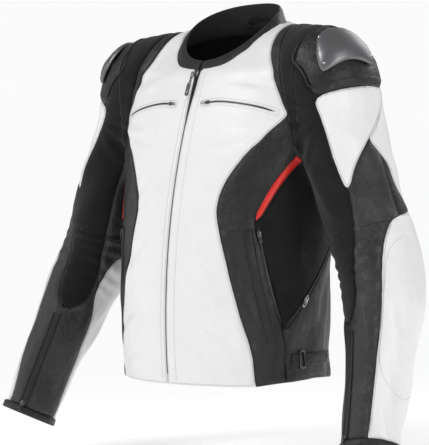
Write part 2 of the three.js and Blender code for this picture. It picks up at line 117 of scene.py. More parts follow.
def half(p):
    """The same points on the wearer's left."""
    q = p.copy()
    q[:, 0] = np.abs(q[:, 0])
    return q


def nearest_distance(p, points):
    tree = KDTree(len(points))
    for i, q in enumerate(points):
        tree.insert(q, i)
    tree.balance()
    return np.array([tree.find(q)[2] for q in p])


def spline(points, per=8, closed=False):
    """A smooth curve through the points, as a dense list."""
    p = np.asarray(points, float)
    n = len(p)
    spans = n if closed else n - 1
    out = []
    for i in range(spans):
        if closed:
            a, b, c, d = p[i - 1], p[i], p[(i + 1) % n], p[(i + 2) % n]
        else:
            a, b, c, d = p[max(i - 1, 0)], p[i], p[i + 1], p[min(i + 2, n - 1)]
        t = np.linspace(0, 1, per, endpoint=False)[:, None]
        out.append(0.5 * (2 * b + (c - a) * t + (2 * a - 5 * b + 4 * c - d) * t**2
                          + (3 * b - a - 3 * c + d) * t**3))
    if not closed:
        out.append(p[-1:])
    return np.concatenate(out)


CORNERS = [(dx, dy, dz) for dx in (0, 1) for dy in (0, 1) for dz in (0, 1)]
LATTICE = 32
NOISE = np.random.default_rng(11).uniform(-1, 1, (LATTICE,) * 3)


def blend_corners(f, value):
    """Trilinear mix at fractions f of value(corner), over a cell's eight corners."""
    total = 0
    for corner in CORNERS:
        x, y, z = (np.where(corner[k], f[:, k], 1 - f[:, k]) for k in range(3))
        total = total + x * y * z * value(corner)
    return total


def noise(p, size):
    """Smooth value noise from -1 to 1 with features of about size."""
    q = np.asarray(p, float) / size + 100.0
    i = np.floor(q).astype(int)
    f = q - i
    return blend_corners(f * f * (3 - 2 * f), lambda corner: NOISE[tuple(((i + corner) % LATTICE).T)])


def polygon_distance(px, py, outline):
    """Distance to a closed outline, positive inside."""
    a = np.asarray(outline, float)
    b = np.roll(a, -1, axis=0)
    best = np.full(px.shape, 1e9)
    inside = np.zeros(px.shape, bool)
    for (x0, y0), (x1, y1) in zip(a, b):
        ex, ey = x1 - x0, y1 - y0
        length = ex * ex + ey * ey
        if length < 1e-9:
            continue
        t = np.clip(((px - x0) * ex + (py - y0) * ey) / length, 0, 1)
        best = np.minimum(best, (px - x0 - t * ex) ** 2 + (py - y0 - t * ey) ** 2)
        if y0 != y1:
            crosses = (y0 > py) != (y1 > py)
            inside ^= crosses & (px < x0 + (py - y0) * ex / (y1 - y0))
    return np.where(inside, 1, -1) * np.sqrt(best)


# ------------------------------------------------------------------ the form
def front_y(z):
    """Depth of the front's middle line: the zip's arc, easing into the line above the neckline."""
    arc = ZIP_ARC["y"] - np.sqrt(ZIP_ARC["radius"] ** 2 - (z - ZIP_ARC["z"]) ** 2)
    (z0, y0), (z1, y1) = FRONT_ABOVE_NECKLINE[:2]
    slope = (y1 - y0) / (z1 - z0)
    above = hermite(*FRONT_ABOVE_NECKLINE.T, z) + slope * np.minimum(z - z0, 0)
    share = smoothstep(z0 - NECKLINE_EASE, z0 + NECKLINE_EASE, z)
    return arc * (1 - share) + above * share


def torso_section(z):
    """Half width, y of the middle, half depth and squareness of the body at heights z."""
    wide, back, power = (hermite(TORSO[:, 0], TORSO[:, k], z) for k in (1, 2, 3))
    front = front_y(z)
    return wide, (front + back) / 2, (back - front) / 2, power


def torso_ratio(x, y, z):
    """1 on the body's surface, less inside it."""
    wide, middle, deep, power = torso_section(z)
    return ((np.abs(x) / wide) ** power + (np.abs(y - middle) / deep) ** power) ** (1 / power)


ROWS = np.arange(len(SLEEVE), dtype=float)
FINE = np.linspace(0, SLEEVE_END, 451)
CENTRE = np.stack([hermite(ROWS, SLEEVE[:, k], FINE) for k in range(3)], 1)
RADII = np.stack([hermite(ROWS, SLEEVE[:, k], FINE) for k in (3, 4)], 1)
SPEED = np.gradient(CENTRE, FINE, axis=0)
ALONG = SPEED / np.linalg.norm(SPEED, axis=1)[:, None]
FORE = np.array([0.0, -1.0, 0.0]) + ALONG * ALONG[:, 1:2]
FORE /= np.linalg.norm(FORE, axis=1)[:, None]
OUT = np.cross(FORE, ALONG)


def at_station(table, s):
    return np.stack([np.interp(s, FINE, table[:, k]) for k in range(table.shape[1])], 1)


def sleeve_place(p):
    """Place along the left sleeve, and coordinates out and fore of its centreline, for points at x > 0."""
    step = 10
    coarse = CENTRE[::step].astype(np.float32)
    q = p.astype(np.float32)
    s = np.empty(len(q))
    for i in range(0, len(q), 200000):
        block = q[i : i + 200000]
        d = (block**2).sum(1)[:, None] - 2 * block @ coarse.T + (coarse**2).sum(1)[None]
        s[i : i + 200000] = FINE[::step][d.argmin(1)]
    for _ in range(2):
        c, speed = at_station(CENTRE, s), at_station(SPEED, s)
        s = np.clip(s + ((p - c) * speed).sum(1) / (speed**2).sum(1), 0, SLEEVE_END)
    c = at_station(CENTRE, s)
    d = p - c
    beyond = (d * at_station(ALONG, s)).sum(1)
    return s, (d * at_station(OUT, s)).sum(1), (d * at_station(FORE, s)).sum(1), beyond


def on_sleeve(degrees, s, lift=0.0):
    """A point on the left sleeve: angle 0 faces outwards and 90 faces forwards."""
    degrees, s, lift = np.broadcast_arrays(*(np.asarray(value, float) for value in (degrees, s, lift)))
    shape = s.shape
    s, a, lift = s.ravel(), np.radians(degrees.ravel()), lift.ravel()
    r = at_station(RADII, s)
    p = (at_station(CENTRE, s) + at_station(OUT, s) * ((r[:, 0] + lift) * np.cos(a))[:, None]
         + at_station(FORE, s) * ((r[:, 1] + lift) * np.sin(a))[:, None])
    return p.reshape(shape + (3,))


def form_grid():
    """Signed distance to body and sleeves together, on a grid; the x < 0 half mirrors the other."""
    xs = np.arange(0, 420, CELL)
    ys = np.arange(-184, 164, CELL)
    zs = np.arange(-708, 20, CELL)
    x, y, z = np.meshgrid(xs, ys, zs, indexing="ij")
    zz = np.broadcast_to(z, x.shape)
    ratio = torso_ratio(x.ravel(), y.ravel(), zz.ravel()).reshape(x.shape)
    slope = np.sqrt(sum(g**2 for g in np.gradient(ratio, CELL)))
    body = np.clip((ratio - 1) / np.maximum(slope, 1e-4), -60, 60)
    body = np.maximum(body, z - 10)
    arm = np.full(x.shape, 60.0)
    near = x > 40
    p = np.stack([x[near], y[near], z[near]], 1)
    s, u, v, beyond = sleeve_place(p)
    r = at_station(RADII, s)
    far = np.sqrt(u**2 + v**2) + 1e-6
    value = far - far / np.sqrt((u / r[:, 0]) ** 2 + (v / r[:, 1]) ** 2 + 1e-9)
    value = np.where(s <= 0, np.maximum(value, -beyond), value)
    arm[near] = np.clip(value, -60, 60)
    blend = 26.0
    h = np.clip(0.5 + 0.5 * (arm - body) / blend, 0, 1)
    both = arm * (1 - h) + body * h - blend * h * (1 - h)
    full = np.concatenate([both[:0:-1], both])
    return full, np.array([-xs[-1], ys[0], zs[0]])


def surface_nets(field, origin, cell):
    """Vertices and quads of the zero surface of a grid of values."""
    inside = field < 0
    count = np.zeros(tuple(n - 1 for n in field.shape), np.int8)
    for corner in CORNERS:
        count += inside[tuple(slice(d, d + n) for d, n in zip(corner, count.shape))]
    cells = np.argwhere((count > 0) & (count < 8))
    total = np.zeros((len(cells), 3))
    hits = np.zeros(len(cells))
    for axis in range(3):
        others = [k for k in range(3) if k != axis]
        for a in (0, 1):
            for b in (0, 1):
                low = np.zeros(3, int)
                low[others[0]], low[others[1]] = a, b
                high = low.copy()
                high[axis] = 1
                f0 = field[tuple((cells + low).T)]
                f1 = field[tuple((cells + high).T)]
                cross = (f0 < 0) != (f1 < 0)
                t = np.where(cross, f0 / np.where(cross, f0 - f1, 1), 0)
                point = cells + low + t[:, None] * (high - low)
                total += point * cross[:, None]
                hits += cross
    number = np.full(count.shape, -1)
    number[tuple(cells.T)] = np.arange(len(cells))
    quads = []
    for axis in range(3):
        u, v = [(1, 2), (2, 0), (0, 1)][axis]
        step = np.zeros(3, int)
        step[axis] = 1
        low = inside[tuple(slice(0, n - step[k]) for k, n in enumerate(field.shape))]
        high = inside[tuple(slice(step[k], n) for k, n in enumerate(field.shape))]
        e = np.argwhere(low != high)
        limit = np.array(count.shape)
        e = e[(e[:, u] > 0) & (e[:, v] > 0) & (e[:, u] < limit[u]) & (e[:, v] < limit[v])]
        du, dv = np.zeros(3, int), np.zeros(3, int)
        du[u], dv[v] = 1, 1
        quad = np.stack([number[tuple((e - a * du - b * dv).T)] for a, b in ((1, 1), (0, 1), (0, 0), (1, 0))], 1)
        flip = ~low[tuple(e.T)]
        quad[flip] = quad[flip][:, ::-1]
        quads.append(quad)
    quads = np.concatenate(quads)
    return origin + cell * total / hits[:, None], quads[(quads >= 0).all(1)]


def sample(field, origin, p):
    """Trilinear value of a grid at points."""
    q = (p - origin) / CELL
    i = np.clip(np.floor(q).astype(int), 0, np.array(field.shape) - 2)
    return blend_corners(q - i, lambda corner: field[tuple((i + corner).T)])


def gradient(field, origin, p, h=3.0):
    g = np.stack([sample(field, origin, p + h * e) - sample(field, origin, p - h * e) for e in np.eye(3)], 1)
    return g / (2 * h)


def edges(t):
    """The three edges of every triangle, each as a rising pair of vertex numbers."""
    return np.sort(np.concatenate([t[:, [0, 1]], t[:, [1, 2]], t[:, [2, 0]]]), axis=1)


def triangles(quads, v):
    """Each quad split along its shorter diagonal."""
    a = np.linalg.norm(v[quads[:, 0]] - v[quads[:, 2]], axis=1)
    b = np.linalg.norm(v[quads[:, 1]] - v[quads[:, 3]], axis=1)
    short = (a <= b)[:, None]
    one = np.where(short, quads[:, [0, 1, 2]], quads[:, [0, 1, 3]])
    two = np.where(short, quads[:, [0, 2, 3]], quads[:, [1, 2, 3]])
    return np.concatenate([one, two])


# ------------------------------------------------------------------ a skin that can be cut along lines
SNAP = 0.22         # a cut this close to a vertex, as a share of the edge, moves the vertex instead


class Skin:
    """Triangles with values at their corners: v (n, 3), normals (n, 3), t (m, 3)."""

    def __init__(self, v, n, t):
        self.v, self.n, self.t = v, n, t

    def take(self, keep):
        t = self.t[keep]
        used, inverse = np.unique(t, return_inverse=True)
        return Skin(self.v[used], self.n[used], inverse.reshape(-1, 3))

    def cut(self, value):
        """Splits along the zero line of value(points). Returns the parts above and below it."""
        v, n, t = self.v.copy(), self.n.copy(), self.t
        f = value(v)
        e = np.unique(edges(t), axis=0)
        cross = (f[e[:, 0]] < 0) != (f[e[:, 1]] < 0)
        e = e[cross]
        if len(e):
            share = f[e[:, 0]] / (f[e[:, 0]] - f[e[:, 1]])
            point = v[e[:, 0]] + share[:, None] * (v[e[:, 1]] - v[e[:, 0]])
            near = np.minimum(share, 1 - share)
            close = near < SNAP
            who = np.where(share < 0.5, e[:, 0], e[:, 1])[close]
            order = np.argsort(-near[close], kind="stable")
            v[who[order]] = point[close][order]
            f = f.copy()
            f[who] = 0.0
        sign = np.sign(f).astype(int)
        cross = sign[e[:, 0]] * sign[e[:, 1]] < 0 if len(e) else np.zeros(0, bool)
        e = e[cross]
        share = (f[e[:, 0]] / (f[e[:, 0]] - f[e[:, 1]]))[:, None]
        new = v[e[:, 0]] + share * (v[e[:, 1]] - v[e[:, 0]])
        new_n = n[e[:, 0]] + share * (n[e[:, 1]] - n[e[:, 0]])
        base = len(v)
        size = base + 1
        key = e[:, 0].astype(np.int64) * size + e[:, 1]
        order = np.argsort(key)
        key, place = key[order], base + order

        def middle(a, b):
            k = np.minimum(a, b).astype(np.int64) * size + np.maximum(a, b)
            if not len(key):
                return np.full(a.shape, -1)
            i = np.clip(np.searchsorted(key, k), 0, len(key) - 1)
            return np.where(key[i] == k, place[i], -1)

        v, n = np.concatenate([v, new]), np.concatenate([n, new_n])
        n = unit(n)
        f = np.concatenate([f, np.zeros(len(new))])
        m = np.stack([middle(t[:, 0], t[:, 1]), middle(t[:, 1], t[:, 2]), middle(t[:, 2], t[:, 0])], 1)
        number = (m >= 0).sum(1)
        out = [t[number == 0]]
        for turn in range(3):
            a, b, c = (t[:, (turn + k) % 3] for k in range(3))
            ab, bc, ca = (m[:, (turn + k) % 3] for k in range(3))
            one = (number == 1) & (ab >= 0)
            out += [np.stack([a, ab, c], 1)[one], np.stack([ab, b, c], 1)[one]]
            two = (number == 2) & (bc < 0)
            out += [np.stack([a, ab, ca], 1)[two], np.stack([ab, b, ca], 1)[two], np.stack([b, c, ca], 1)[two]]
        t = np.concatenate(out)
        whole = Skin(v, n, t)
        side = f[t].sum(1) > 0
        return whole.take(side), whole.take(~side)


def lines_at(skin, value, level):
    """The line value = level on a skin, as points, normals and directions at stitch spacing."""
    f = value - level
    t = skin.t
    sign = f[t] > 0
    mixed = sign.any(1) & ~sign.all(1)
    t, sign = t[mixed], sign[mixed]
    lone = np.where(sign.sum(1) == 1, sign.argmax(1), (~sign).argmax(1))
    rows = np.arange(len(t))
    a, b, c = t[rows, lone], t[rows, (lone + 1) % 3], t[rows, (lone + 2) % 3]
    ends = []
    for other in (b, c):
        w = (f[a] / (f[a] - f[other]))[:, None]
        ends.append((skin.v[a] + w * (skin.v[other] - skin.v[a]), skin.n[a] + w * (skin.n[other] - skin.n[a]),
                     np.sort(np.stack([a, other], 1), axis=1)))
    links = {}
    for i in range(len(t)):
        for end in (0, 1):
            links.setdefault(tuple(ends[end][2][i]), []).append((i, end))
    used = np.zeros(len(t), bool)
    chains = []
    starts = [v[0] for v in links.values() if len(v) == 1] + [(i, 0) for i in range(len(t))]
    for i, end in starts:
        if used[i]:
            continue
        chain = [(ends[end][0][i], ends[end][1][i])]
        while True:
            used[i] = True
            chain.append((ends[1 - end][0][i], ends[1 - end][1][i]))
            following = [q for q in links[tuple(ends[1 - end][2][i])] if not used[q[0]]]
            if not following:
                break
            i, end = following[0]
        chains.append((np.array([c[0] for c in chain]), np.array([c[1] for c in chain])))
    return chains


# ------------------------------------------------------------------ making Blender objects
def make(name, v, faces, materials, smooth=True, indices=None):
    """A mesh object from points in millimetres."""
    mesh = bpy.data.meshes.new(name)
    mesh.from_pydata((np.asarray(v) * MM).tolist(), [], [list(map(int, f)) for f in faces])
    mesh.validate()
    mesh.update()
    if smooth:
        mesh.polygons.foreach_set("use_smooth", [True] * len(mesh.polygons))
    obj = bpy.data.objects.new(name, mesh)
    bpy.context.scene.collection.objects.link(obj)
    for m in materials:
        mesh.materials.append(m)
    if indices is not None:
        mesh.polygons.foreach_set("material_index", indices)
    return obj


SIGN = {"left": 1.0, "right": -1.0}


def sides():
    return SIGN.items()


def flipped(v, faces, sign):
    """A left-hand piece, or its mirror image when sign is -1."""
    if sign > 0:
        return v, faces
    return np.asarray(v) * (-1.0, 1.0, 1.0), [tuple(reversed(f)) for f in faces]


class Builder:
    """Collects several small solids into one mesh."""

    def __init__(self):
        self.v, self.f, self.count = [], [], 0

    def add(self, v, faces):
        self.v.append(np.asarray(v, float))
        self.f += [tuple(i + self.count for i in face) for face in faces]
        self.count += len(v)

    def object(self, name, look, smooth=True):
        return make(name, np.concatenate(self.v), self.f, [MATERIALS[look]], smooth)


def thicken(obj, thickness):
    """Gives a sheet its thickness, inwards."""
    thick = obj.modifiers.new("thickness", "SOLIDIFY")
    thick.thickness = thickness * MM
    thick.offset = -1.0


def set_edge(obj, values):
    """How far each vertex is from its panel's seam, 0 to 1, which the leather's shader reads for its painted seam
    shade and its worn line.
    """
    layer = obj.data.attributes.new("edge", "FLOAT", "POINT")
    layer.data.foreach_set("value", np.asarray(values, np.float32))


def grid_faces(rows, columns, wrap=False, ring=False):
    """Quads of a grid; wrap joins its last column to the first, ring its last row."""
    faces = []
    for i in range(rows if ring else rows - 1):
        for j in range(columns if wrap else columns - 1):
            k, below = (j + 1) % columns, (i + 1) % rows
            faces.append((i * columns + j, i * columns + k, below * columns + k, below * columns + j))
    return faces


def tube_faces(rows, columns):
    """A wrapped grid with a cap at each end, facing the other way round."""
    faces = [tuple(reversed(f)) for f in grid_faces(rows, columns, wrap=True)]
    return faces + [tuple(range(columns)), tuple(reversed(range((rows - 1) * columns, rows * columns)))]


def line_frame(p, n):
    """Unit directions along a line on a surface, and across it."""
    along = unit(np.gradient(p, axis=0))
    return along, np.cross(along, n)


def sweep(points, normals, profile, scale=None, closed=False):
    """A closed solid: profile (sideways, up) carried along a line of points on a surface."""
    p, n = np.asarray(points, float), np.asarray(normals, float)
    if closed:
        along = np.roll(p, -1, axis=0) - np.roll(p, 1, axis=0)
    else:
        along = np.gradient(p, axis=0)
    along = unit(along)
    side = unit(np.cross(along, n))
    up = np.cross(side, along)
    k = len(profile)
    scale = np.ones(len(p)) if scale is None else np.asarray(scale)
    rings = []
    for i in range(len(p)):
        rings.append([p[i] + side[i] * a * scale[i] + up[i] * b for a, b in profile])
    v = np.array(rings).reshape(-1, 3)
    if closed:
        return v, [tuple(reversed(f)) for f in grid_faces(len(p), k, wrap=True, ring=True)]
    return v, tube_faces(len(p), k)


def band_profile(width, base, height, crown=0.0, count=5):
    """A flat strip's section with a rounded top, counter-clockwise."""
    top = [(x * width / 2, height + crown * (1 - x * x)) for x in np.linspace(1, -1, count)]
    edge = min(0.35 * (height - base), 0.8)
    return ([(-width / 2, base), (width / 2, base), (width / 2 + 0.02, height - edge)]
            + [(x * 0.96, y) for x, y in top] + [(-width / 2 - 0.02, height - edge)])


def round_profile(radius, base, count=10):
    return [(radius * math.cos(a), base + radius * math.sin(a))
            for a in np.linspace(0, 2 * math.pi, count, endpoint=False)]


def lengths(points):
    """Length along a line up to each of its points."""
    return np.concatenate([[0], np.cumsum(np.linalg.norm(np.diff(points, axis=0), axis=1))])


def read_at(at, d, rows):
    """Rows of three values interpolated at lengths along a line."""
    return np.stack([np.interp(at, d, rows[:, k]) for k in range(3)], 1)


def resample(points, normals, pitch):
    """Places at an even pitch along a line, as points, normals and directions."""
    d = lengths(points)
    if d[-1] < pitch:
        return None
    at = np.arange(pitch / 2, d[-1], pitch)
    p, q = read_at(at, d, points), read_at(at, d, normals)
    along = read_at(at + pitch * 0.3, d, points) - read_at(at - pitch * 0.3, d, points)
    good = np.linalg.norm(along, axis=1) > 1e-6
    return p[good], unit(q[good]), unit(along[good])


def stitch_row(builder, points, normals, pitch=STITCH_PITCH, length=2.3, lift=0.12):
    """A row of thread stitches lying on the leather."""
    row = resample(np.asarray(points), np.asarray(normals), pitch)
    if row is None:
        return
    p, n, along = row
    side = np.cross(along, n)
    around = 5
    ring = [(math.cos(a), math.sin(a)) for a in np.linspace(0, 2 * math.pi, around, endpoint=False)]
    after = [(j + 1) % around for j in range(around)]
    faces = [(0, 1 + after[j], 1 + j) for j in range(around)]
    faces += [(1 + j, 1 + after[j], 6 + after[j], 6 + j) for j in range(around)]
    faces += [(11, 6 + j, 6 + after[j]) for j in range(around)]
    for c, u, d, w in zip(p, n, along, side):
        v = [c - d * length / 2 + u * (lift - THREAD * 0.6)]
        for end in (-0.3, 0.3):
            v += [c + d * length * end + w * THREAD * a + u * (lift + THREAD * b) for a, b in ring]
        v.append(c + d * length / 2 + u * (lift - THREAD * 0.6))
        builder.add(v, faces)


# ------------------------------------------------------------------ materials
def principled(name, **inputs):
    """A new material whose Principled sockets are set directly."""
    m = bpy.data.materials.new(name)
    m.use_nodes = True
    shader = m.node_tree.nodes["Principled BSDF"]
    for key, value in inputs.items():
        shader.inputs[key.replace("_", " ")].default_value = value
    return m, m.node_tree, shader


def node(tree, kind, **settings):
    n = tree.nodes.new(kind)
    for key, value in settings.items():
        if key in n.inputs.keys():
            n.inputs[key].default_value = value
        else:
            setattr(n, key, value)
    return n


def link(tree, a, out, b, into):
    tree.links.new(a.outputs[out], b.inputs[into])


def place(tree):
    """Where a texture reads its place: on the object itself."""
    return node(tree, "ShaderNodeTexCoord"), "Object"


def noise_node(tree, scale, detail=3.0, rough=0.5, stretch=None, distortion=0.0):
    n = node(tree, "ShaderNodeTexNoise", Scale=scale, Detail=detail, Roughness=rough, Distortion=distortion)
    coords, out = place(tree)
    if stretch:
        turn = node(tree, "ShaderNodeMapping")
        turn.inputs["Scale"].default_value = stretch
        link(tree, coords, out, turn, "Vector")
        link(tree, turn, "Vector", n, "Vector")
    else:
        link(tree, coords, out, n, "Vector")
    return n


def ramp(tree, source, out, low, high, a=(0, 0, 0, 1), b=(1, 1, 1, 1)):
    r = node(tree, "ShaderNodeValToRGB")
    r.color_ramp.elements[0].position, r.color_ramp.elements[1].position = low, high
    r.color_ramp.elements[0].color, r.color_ramp.elements[1].color = a, b
    link(tree, source, out, r, "Fac")
    return r


def mix(tree, kind, factor, a, b):
    """Mixes two colours; each is a colour or a (node, output) pair, and factor may be a pair too."""
    m = node(tree, "ShaderNodeMix", data_type="RGBA", blend_type=kind)
    for value, socket in ((factor, m.inputs[0]), (a, m.inputs[6]), (b, m.inputs[7])):
        if isinstance(value, tuple) and hasattr(value[0], "outputs"):
            tree.links.new(value[0].outputs[value[1]], socket)
        else:
            socket.default_value = value
    return m


def add_bump(tree, shader, layers):
    """Layers are (node, output, strength, distance), finest last."""
    previous = None
    for source, out, strength, distance in layers:
        b = node(tree, "ShaderNodeBump", Strength=strength, Distance=distance)
        link(tree, source, out, b, "Height")
        if previous:
            link(tree, previous, "Normal", b, "Normal")
        previous = b
    link(tree, previous, "Normal", shader, "Normal")


def vary_roughness(tree, shader, source, low, high):
    shine = node(tree, "ShaderNodeMapRange")
    shine.inputs["To Min"].default_value = low
    shine.inputs["To Max"].default_value = high
    link(tree, source, "Fac", shine, "Value")
    link(tree, shine, "Result", shader, "Roughness")


def leather(name, base, dark, roughness, grain, wear=None, coat=0.1, crease=0.5, shade=0.8, specular=0.5):
    """Leather with pebbled grain, pores, soft creases, painted shade darkening it along its seams, and, where
    wear is given, a worn line beside them.
    """
    m, tree, shader = principled(name, Roughness=roughness, Coat_Weight=coat, Coat_Roughness=0.28)
    shader.inputs["Specular IOR Level"].default_value = specular
    patches = noise_node(tree, 14.0, 4.0, 0.55)
    tone = mix(tree, "MIX", (ramp(tree, patches, "Fac", 0.35, 0.7), "Color"), base + (1,), dark + (1,))
    pores = noise_node(tree, 1900.0, 2.0, 0.6)
    holes = ramp(tree, pores, "Fac", 0.3, 0.55, (0.86, 0.86, 0.86, 1))
    tone = mix(tree, "MULTIPLY", 0.35, (tone, 2), (holes, "Color"))
    edge = node(tree, "ShaderNodeAttribute", attribute_name="edge")
    # Painted shade: the colour darkens to 0.62 within about 4 mm of each seam, as though its groove were in
    # shadow; shade sets how much.
    seam = ramp(tree, edge, "Fac", 0.02, 0.2, (0.62, 0.62, 0.62, 1), (1, 1, 1, 1))
    tone = mix(tree, "MULTIPLY", shade, (tone, 2), (seam, "Color"))
    if wear:
        rub = noise_node(tree, 60.0, 5.0, 0.65)
        line = ramp(tree, edge, "Fac", 0.12, 0.3)
        band = ramp(tree, edge, "Fac", 0.3, 0.6, (1, 1, 1, 1), (0, 0, 0, 1))
        rubbed = mix(tree, "MULTIPLY", 1.0, (line, "Color"), (band, "Color"))
        rubbed = mix(tree, "MULTIPLY", 1.0, (rubbed, 2), (ramp(tree, rub, "Fac", 0.52, 0.7), "Color"))
        tone = mix(tree, "MIX", (rubbed, 2), (tone, 2), wear + (1,))
    finish_colour(tree, shader, tone)
    vary_roughness(tree, shader, noise_node(tree, 45.0, 4.0, 0.6), roughness - 0.07, roughness + 0.11)
    pebbles = node(tree, "ShaderNodeTexVoronoi", Scale=620.0, feature="SMOOTH_F1")
    coords, out = place(tree)
    warp = noise_node(tree, 300.0, 2.0)
    bend = mix(tree, "LINEAR_LIGHT", 0.0025, (coords, out), (warp, "Color"))
    tree.links.new(bend.outputs[2], pebbles.inputs["Vector"])
    creases = noise_node(tree, 95.0, 5.0, 0.62, distortion=1.2)
    soft = noise_node(tree, 26.0, 3.0, 0.5, stretch=(1.0, 1.0, 0.45))
    add_bump(tree, shader, [(soft, "Fac", crease, 0.011), (creases, "Fac", 0.5 * grain, 0.0022),
                            (pebbles, "Distance", 0.3 * grain, 0.0009), (pores, "Fac", 0.12 * grain, 0.0004)])
    return m


def finish_colour(tree, shader, tone):
    tree.links.new(tone.outputs[2], shader.inputs["Base Color"])


def stretch_fabric(name, base, light):
    """Matte stretch fabric: fine woven rows, a little fuzz and faint pilling."""
    m, tree, shader = principled(name, Roughness=0.88, Sheen_Weight=0.25, Sheen_Roughness=0.5)
    shader.inputs["Specular IOR Level"].default_value = 0.22
    shader.inputs["Sheen Tint"].default_value = (0.5, 0.5, 0.52, 1)
    weave = node(tree, "ShaderNodeTexWave", Scale=420.0, Distortion=0.6, bands_direction="Z")
    across = node(tree, "ShaderNodeTexWave", Scale=420.0, Distortion=0.6, bands_direction="X")
    coords, out = place(tree)
    link(tree, coords, out, weave, "Vector")
    link(tree, coords, out, across, "Vector")
    threads = mix(tree, "MULTIPLY", 1.0, (weave, "Color"), (across, "Color"))
    patches = noise_node(tree, 30.0, 4.0)
    tone = mix(tree, "MIX", (ramp(tree, patches, "Fac", 0.3, 0.75), "Color"), base + (1,), light + (1,))
    tone = mix(tree, "MULTIPLY", 0.4, (tone, 2), (threads, 2))
    finish_colour(tree, shader, tone)
    lint = noise_node(tree, 900.0, 2.0)
    add_bump(tree, shader, [(threads, 2, 0.35, 0.0005), (lint, "Fac", 0.2, 0.0003)])
    return m


def metal(name, base, roughness, brushed=0.4, metallic=1.0):
    """Metal or metallic plastic with fine brushed streaks and uneven gloss."""
    m, tree, shader = principled(name, Metallic=metallic, Roughness=roughness)
    streaks = noise_node(tree, 260.0, 4.0, 0.6, stretch=(1.0, 1.0, 0.15))
    tone = mix(tree, "MIX", (streaks, "Fac"), base + (1,), tuple(0.72 * c for c in base) + (1,))
    finish_colour(tree, shader, tone)
    vary_roughness(tree, shader, noise_node(tree, 500.0, 4.0), roughness * 0.75, roughness * 1.5)
    add_bump(tree, shader, [(streaks, "Fac", 0.12 * brushed, 0.0004)])
    return m


def plain_cloth(name, base, light, scale=650.0, roughness=0.85):
    """Mesh cloth, and at a finer scale thread, tape and foam."""
    m, tree, shader = principled(name, Roughness=roughness)
    shader.inputs["Specular IOR Level"].default_value = 0.25
    dots = node(tree, "ShaderNodeTexVoronoi", Scale=scale)
    coords, out = place(tree)
    link(tree, coords, out, dots, "Vector")
    holes = ramp(tree, dots, "Distance", 0.05, 0.45, (0.35, 0.35, 0.35, 1), (1, 1, 1, 1))
    patches = noise_node(tree, 40.0, 4.0)
    tone = mix(tree, "MIX", (patches, "Fac"), base + (1,), light + (1,))
    tone = mix(tree, "MULTIPLY", 0.7, (tone, 2), (holes, "Color"))
    finish_colour(tree, shader, tone)
    add_bump(tree, shader, [(dots, "Distance", 0.4, 0.0008)])
    return m


def make_materials():
    return {
        "white": leather("white_cowhide", (0.90, 0.90, 0.903), (0.865, 0.867, 0.873), 0.42, 0.8,
                         crease=0.35, shade=0.22),
        "black": leather("black_cowhide", (0.012, 0.012, 0.013), (0.022, 0.022, 0.023), 0.37, 1.3,
                         wear=(0.06, 0.058, 0.056), coat=0.06, crease=0.55, specular=0.36),
        "grey": leather("worn_black_cowhide", (0.018, 0.018, 0.019), (0.034, 0.034, 0.036), 0.38, 1.7,
                        wear=(0.085, 0.083, 0.08), coat=0.06, crease=0.8, specular=0.42),
        "red": leather("red_cowhide", (0.95, 0.030, 0.016), (0.88, 0.022, 0.012), 0.38, 0.7,
                       crease=0.3, shade=0.5),
        "stretch": stretch_fabric("black_stretch", (0.008, 0.008, 0.009), (0.016, 0.016, 0.017)),
        "lining": plain_cloth("mesh_lining", (0.013, 0.013, 0.014), (0.03, 0.03, 0.032)),
        "foam": plain_cloth("armour_foam", (0.045, 0.05, 0.055), (0.08, 0.085, 0.09), 260.0, 0.7),
        "thread_white": plain_cloth("white_thread", (0.42, 0.42, 0.43), (0.36, 0.36, 0.37), 2500.0, 0.6),
        "thread_black": plain_cloth("black_thread", (0.022, 0.022, 0.024), (0.05, 0.05, 0.052), 2500.0, 0.55),
        "thread_red": plain_cloth("red_thread", (0.5, 0.02, 0.015), (0.42, 0.015, 0.01), 2500.0, 0.55),
        "tape": plain_cloth("zip_tape", (0.012, 0.012, 0.013), (0.022, 0.022, 0.023), 1500.0, 0.8),
        "teeth": metal("zip_teeth_metal", (0.10, 0.10, 0.105), 0.38),
        "gunmetal": metal("zip_slider_metal", (0.16, 0.16, 0.17), 0.3),
        "bright": metal("bright_steel", (0.72, 0.72, 0.74), 0.22),
        "cup": metal("cup_brushed_grey", (0.21, 0.213, 0.22), 0.33, 1.4, 0.7),
    }


MATERIALS = make_materials()


# ------------------------------------------------------------------ the skin, with its soft folds
def torso_side(y, z):
    """Points on the body's left side at depths y and heights z."""
    y, z = np.asarray(y, float), np.asarray(z, float)
    wide, middle, deep, power = torso_section(z)
    x = wide * np.maximum(1 - np.abs((y - middle) / deep) ** power, 0) ** (1 / power)
    return np.stack([x, y, z], 1)


def torso_front(x, z):
    """Points on the body's front at distances x from the middle and heights z."""
    x, z = np.asarray(x, float), np.asarray(z, float)
    wide, middle, deep, power = torso_section(z)
    y = middle - deep * np.maximum(1 - np.abs(x / wide) ** power, 0) ** (1 / power)
    return np.stack([x, y, z], 1)


def front_line(line, per=12):
    """A smooth line on the front through (x, z) points."""
    return torso_front(*spline(line, per).T)


def side_line(line):
    """A smooth line on the side through (y, z) points."""
    return torso_side(*spline(line, 12).T)


VENT = [(30, -137), (60, -135), (97, -139), (128, -145), (152, -153)]
POCKET_LINE = [(-111, -321), (-112, -334), (-96, -405), (-76, -478), (-68, -513), (-60, -620)]
POCKET_ZIP = [(142, -334), (161, -480)]
SIDE_ZIP = [(-72, -493), (-48, -467), (-24, -442), (9, -407), (38, -376), (60, -352), (82, -285), (92, -225)]
CUFF_ZIP = {"angle": 112.0, "closed": 6.6, "open": 8.42}
WELT = [(130, -336), (137, -390), (146, -452), (154, -512)]
STRIPE = [(139, -321), (146, -302), (158, -270), (178, -222)]


def arm_angle(p):
    s, u, v, _ = sleeve_place(p)
    r = at_station(RADII, s)
    return s, np.degrees(np.arctan2(v / r[:, 1], u / r[:, 0]))


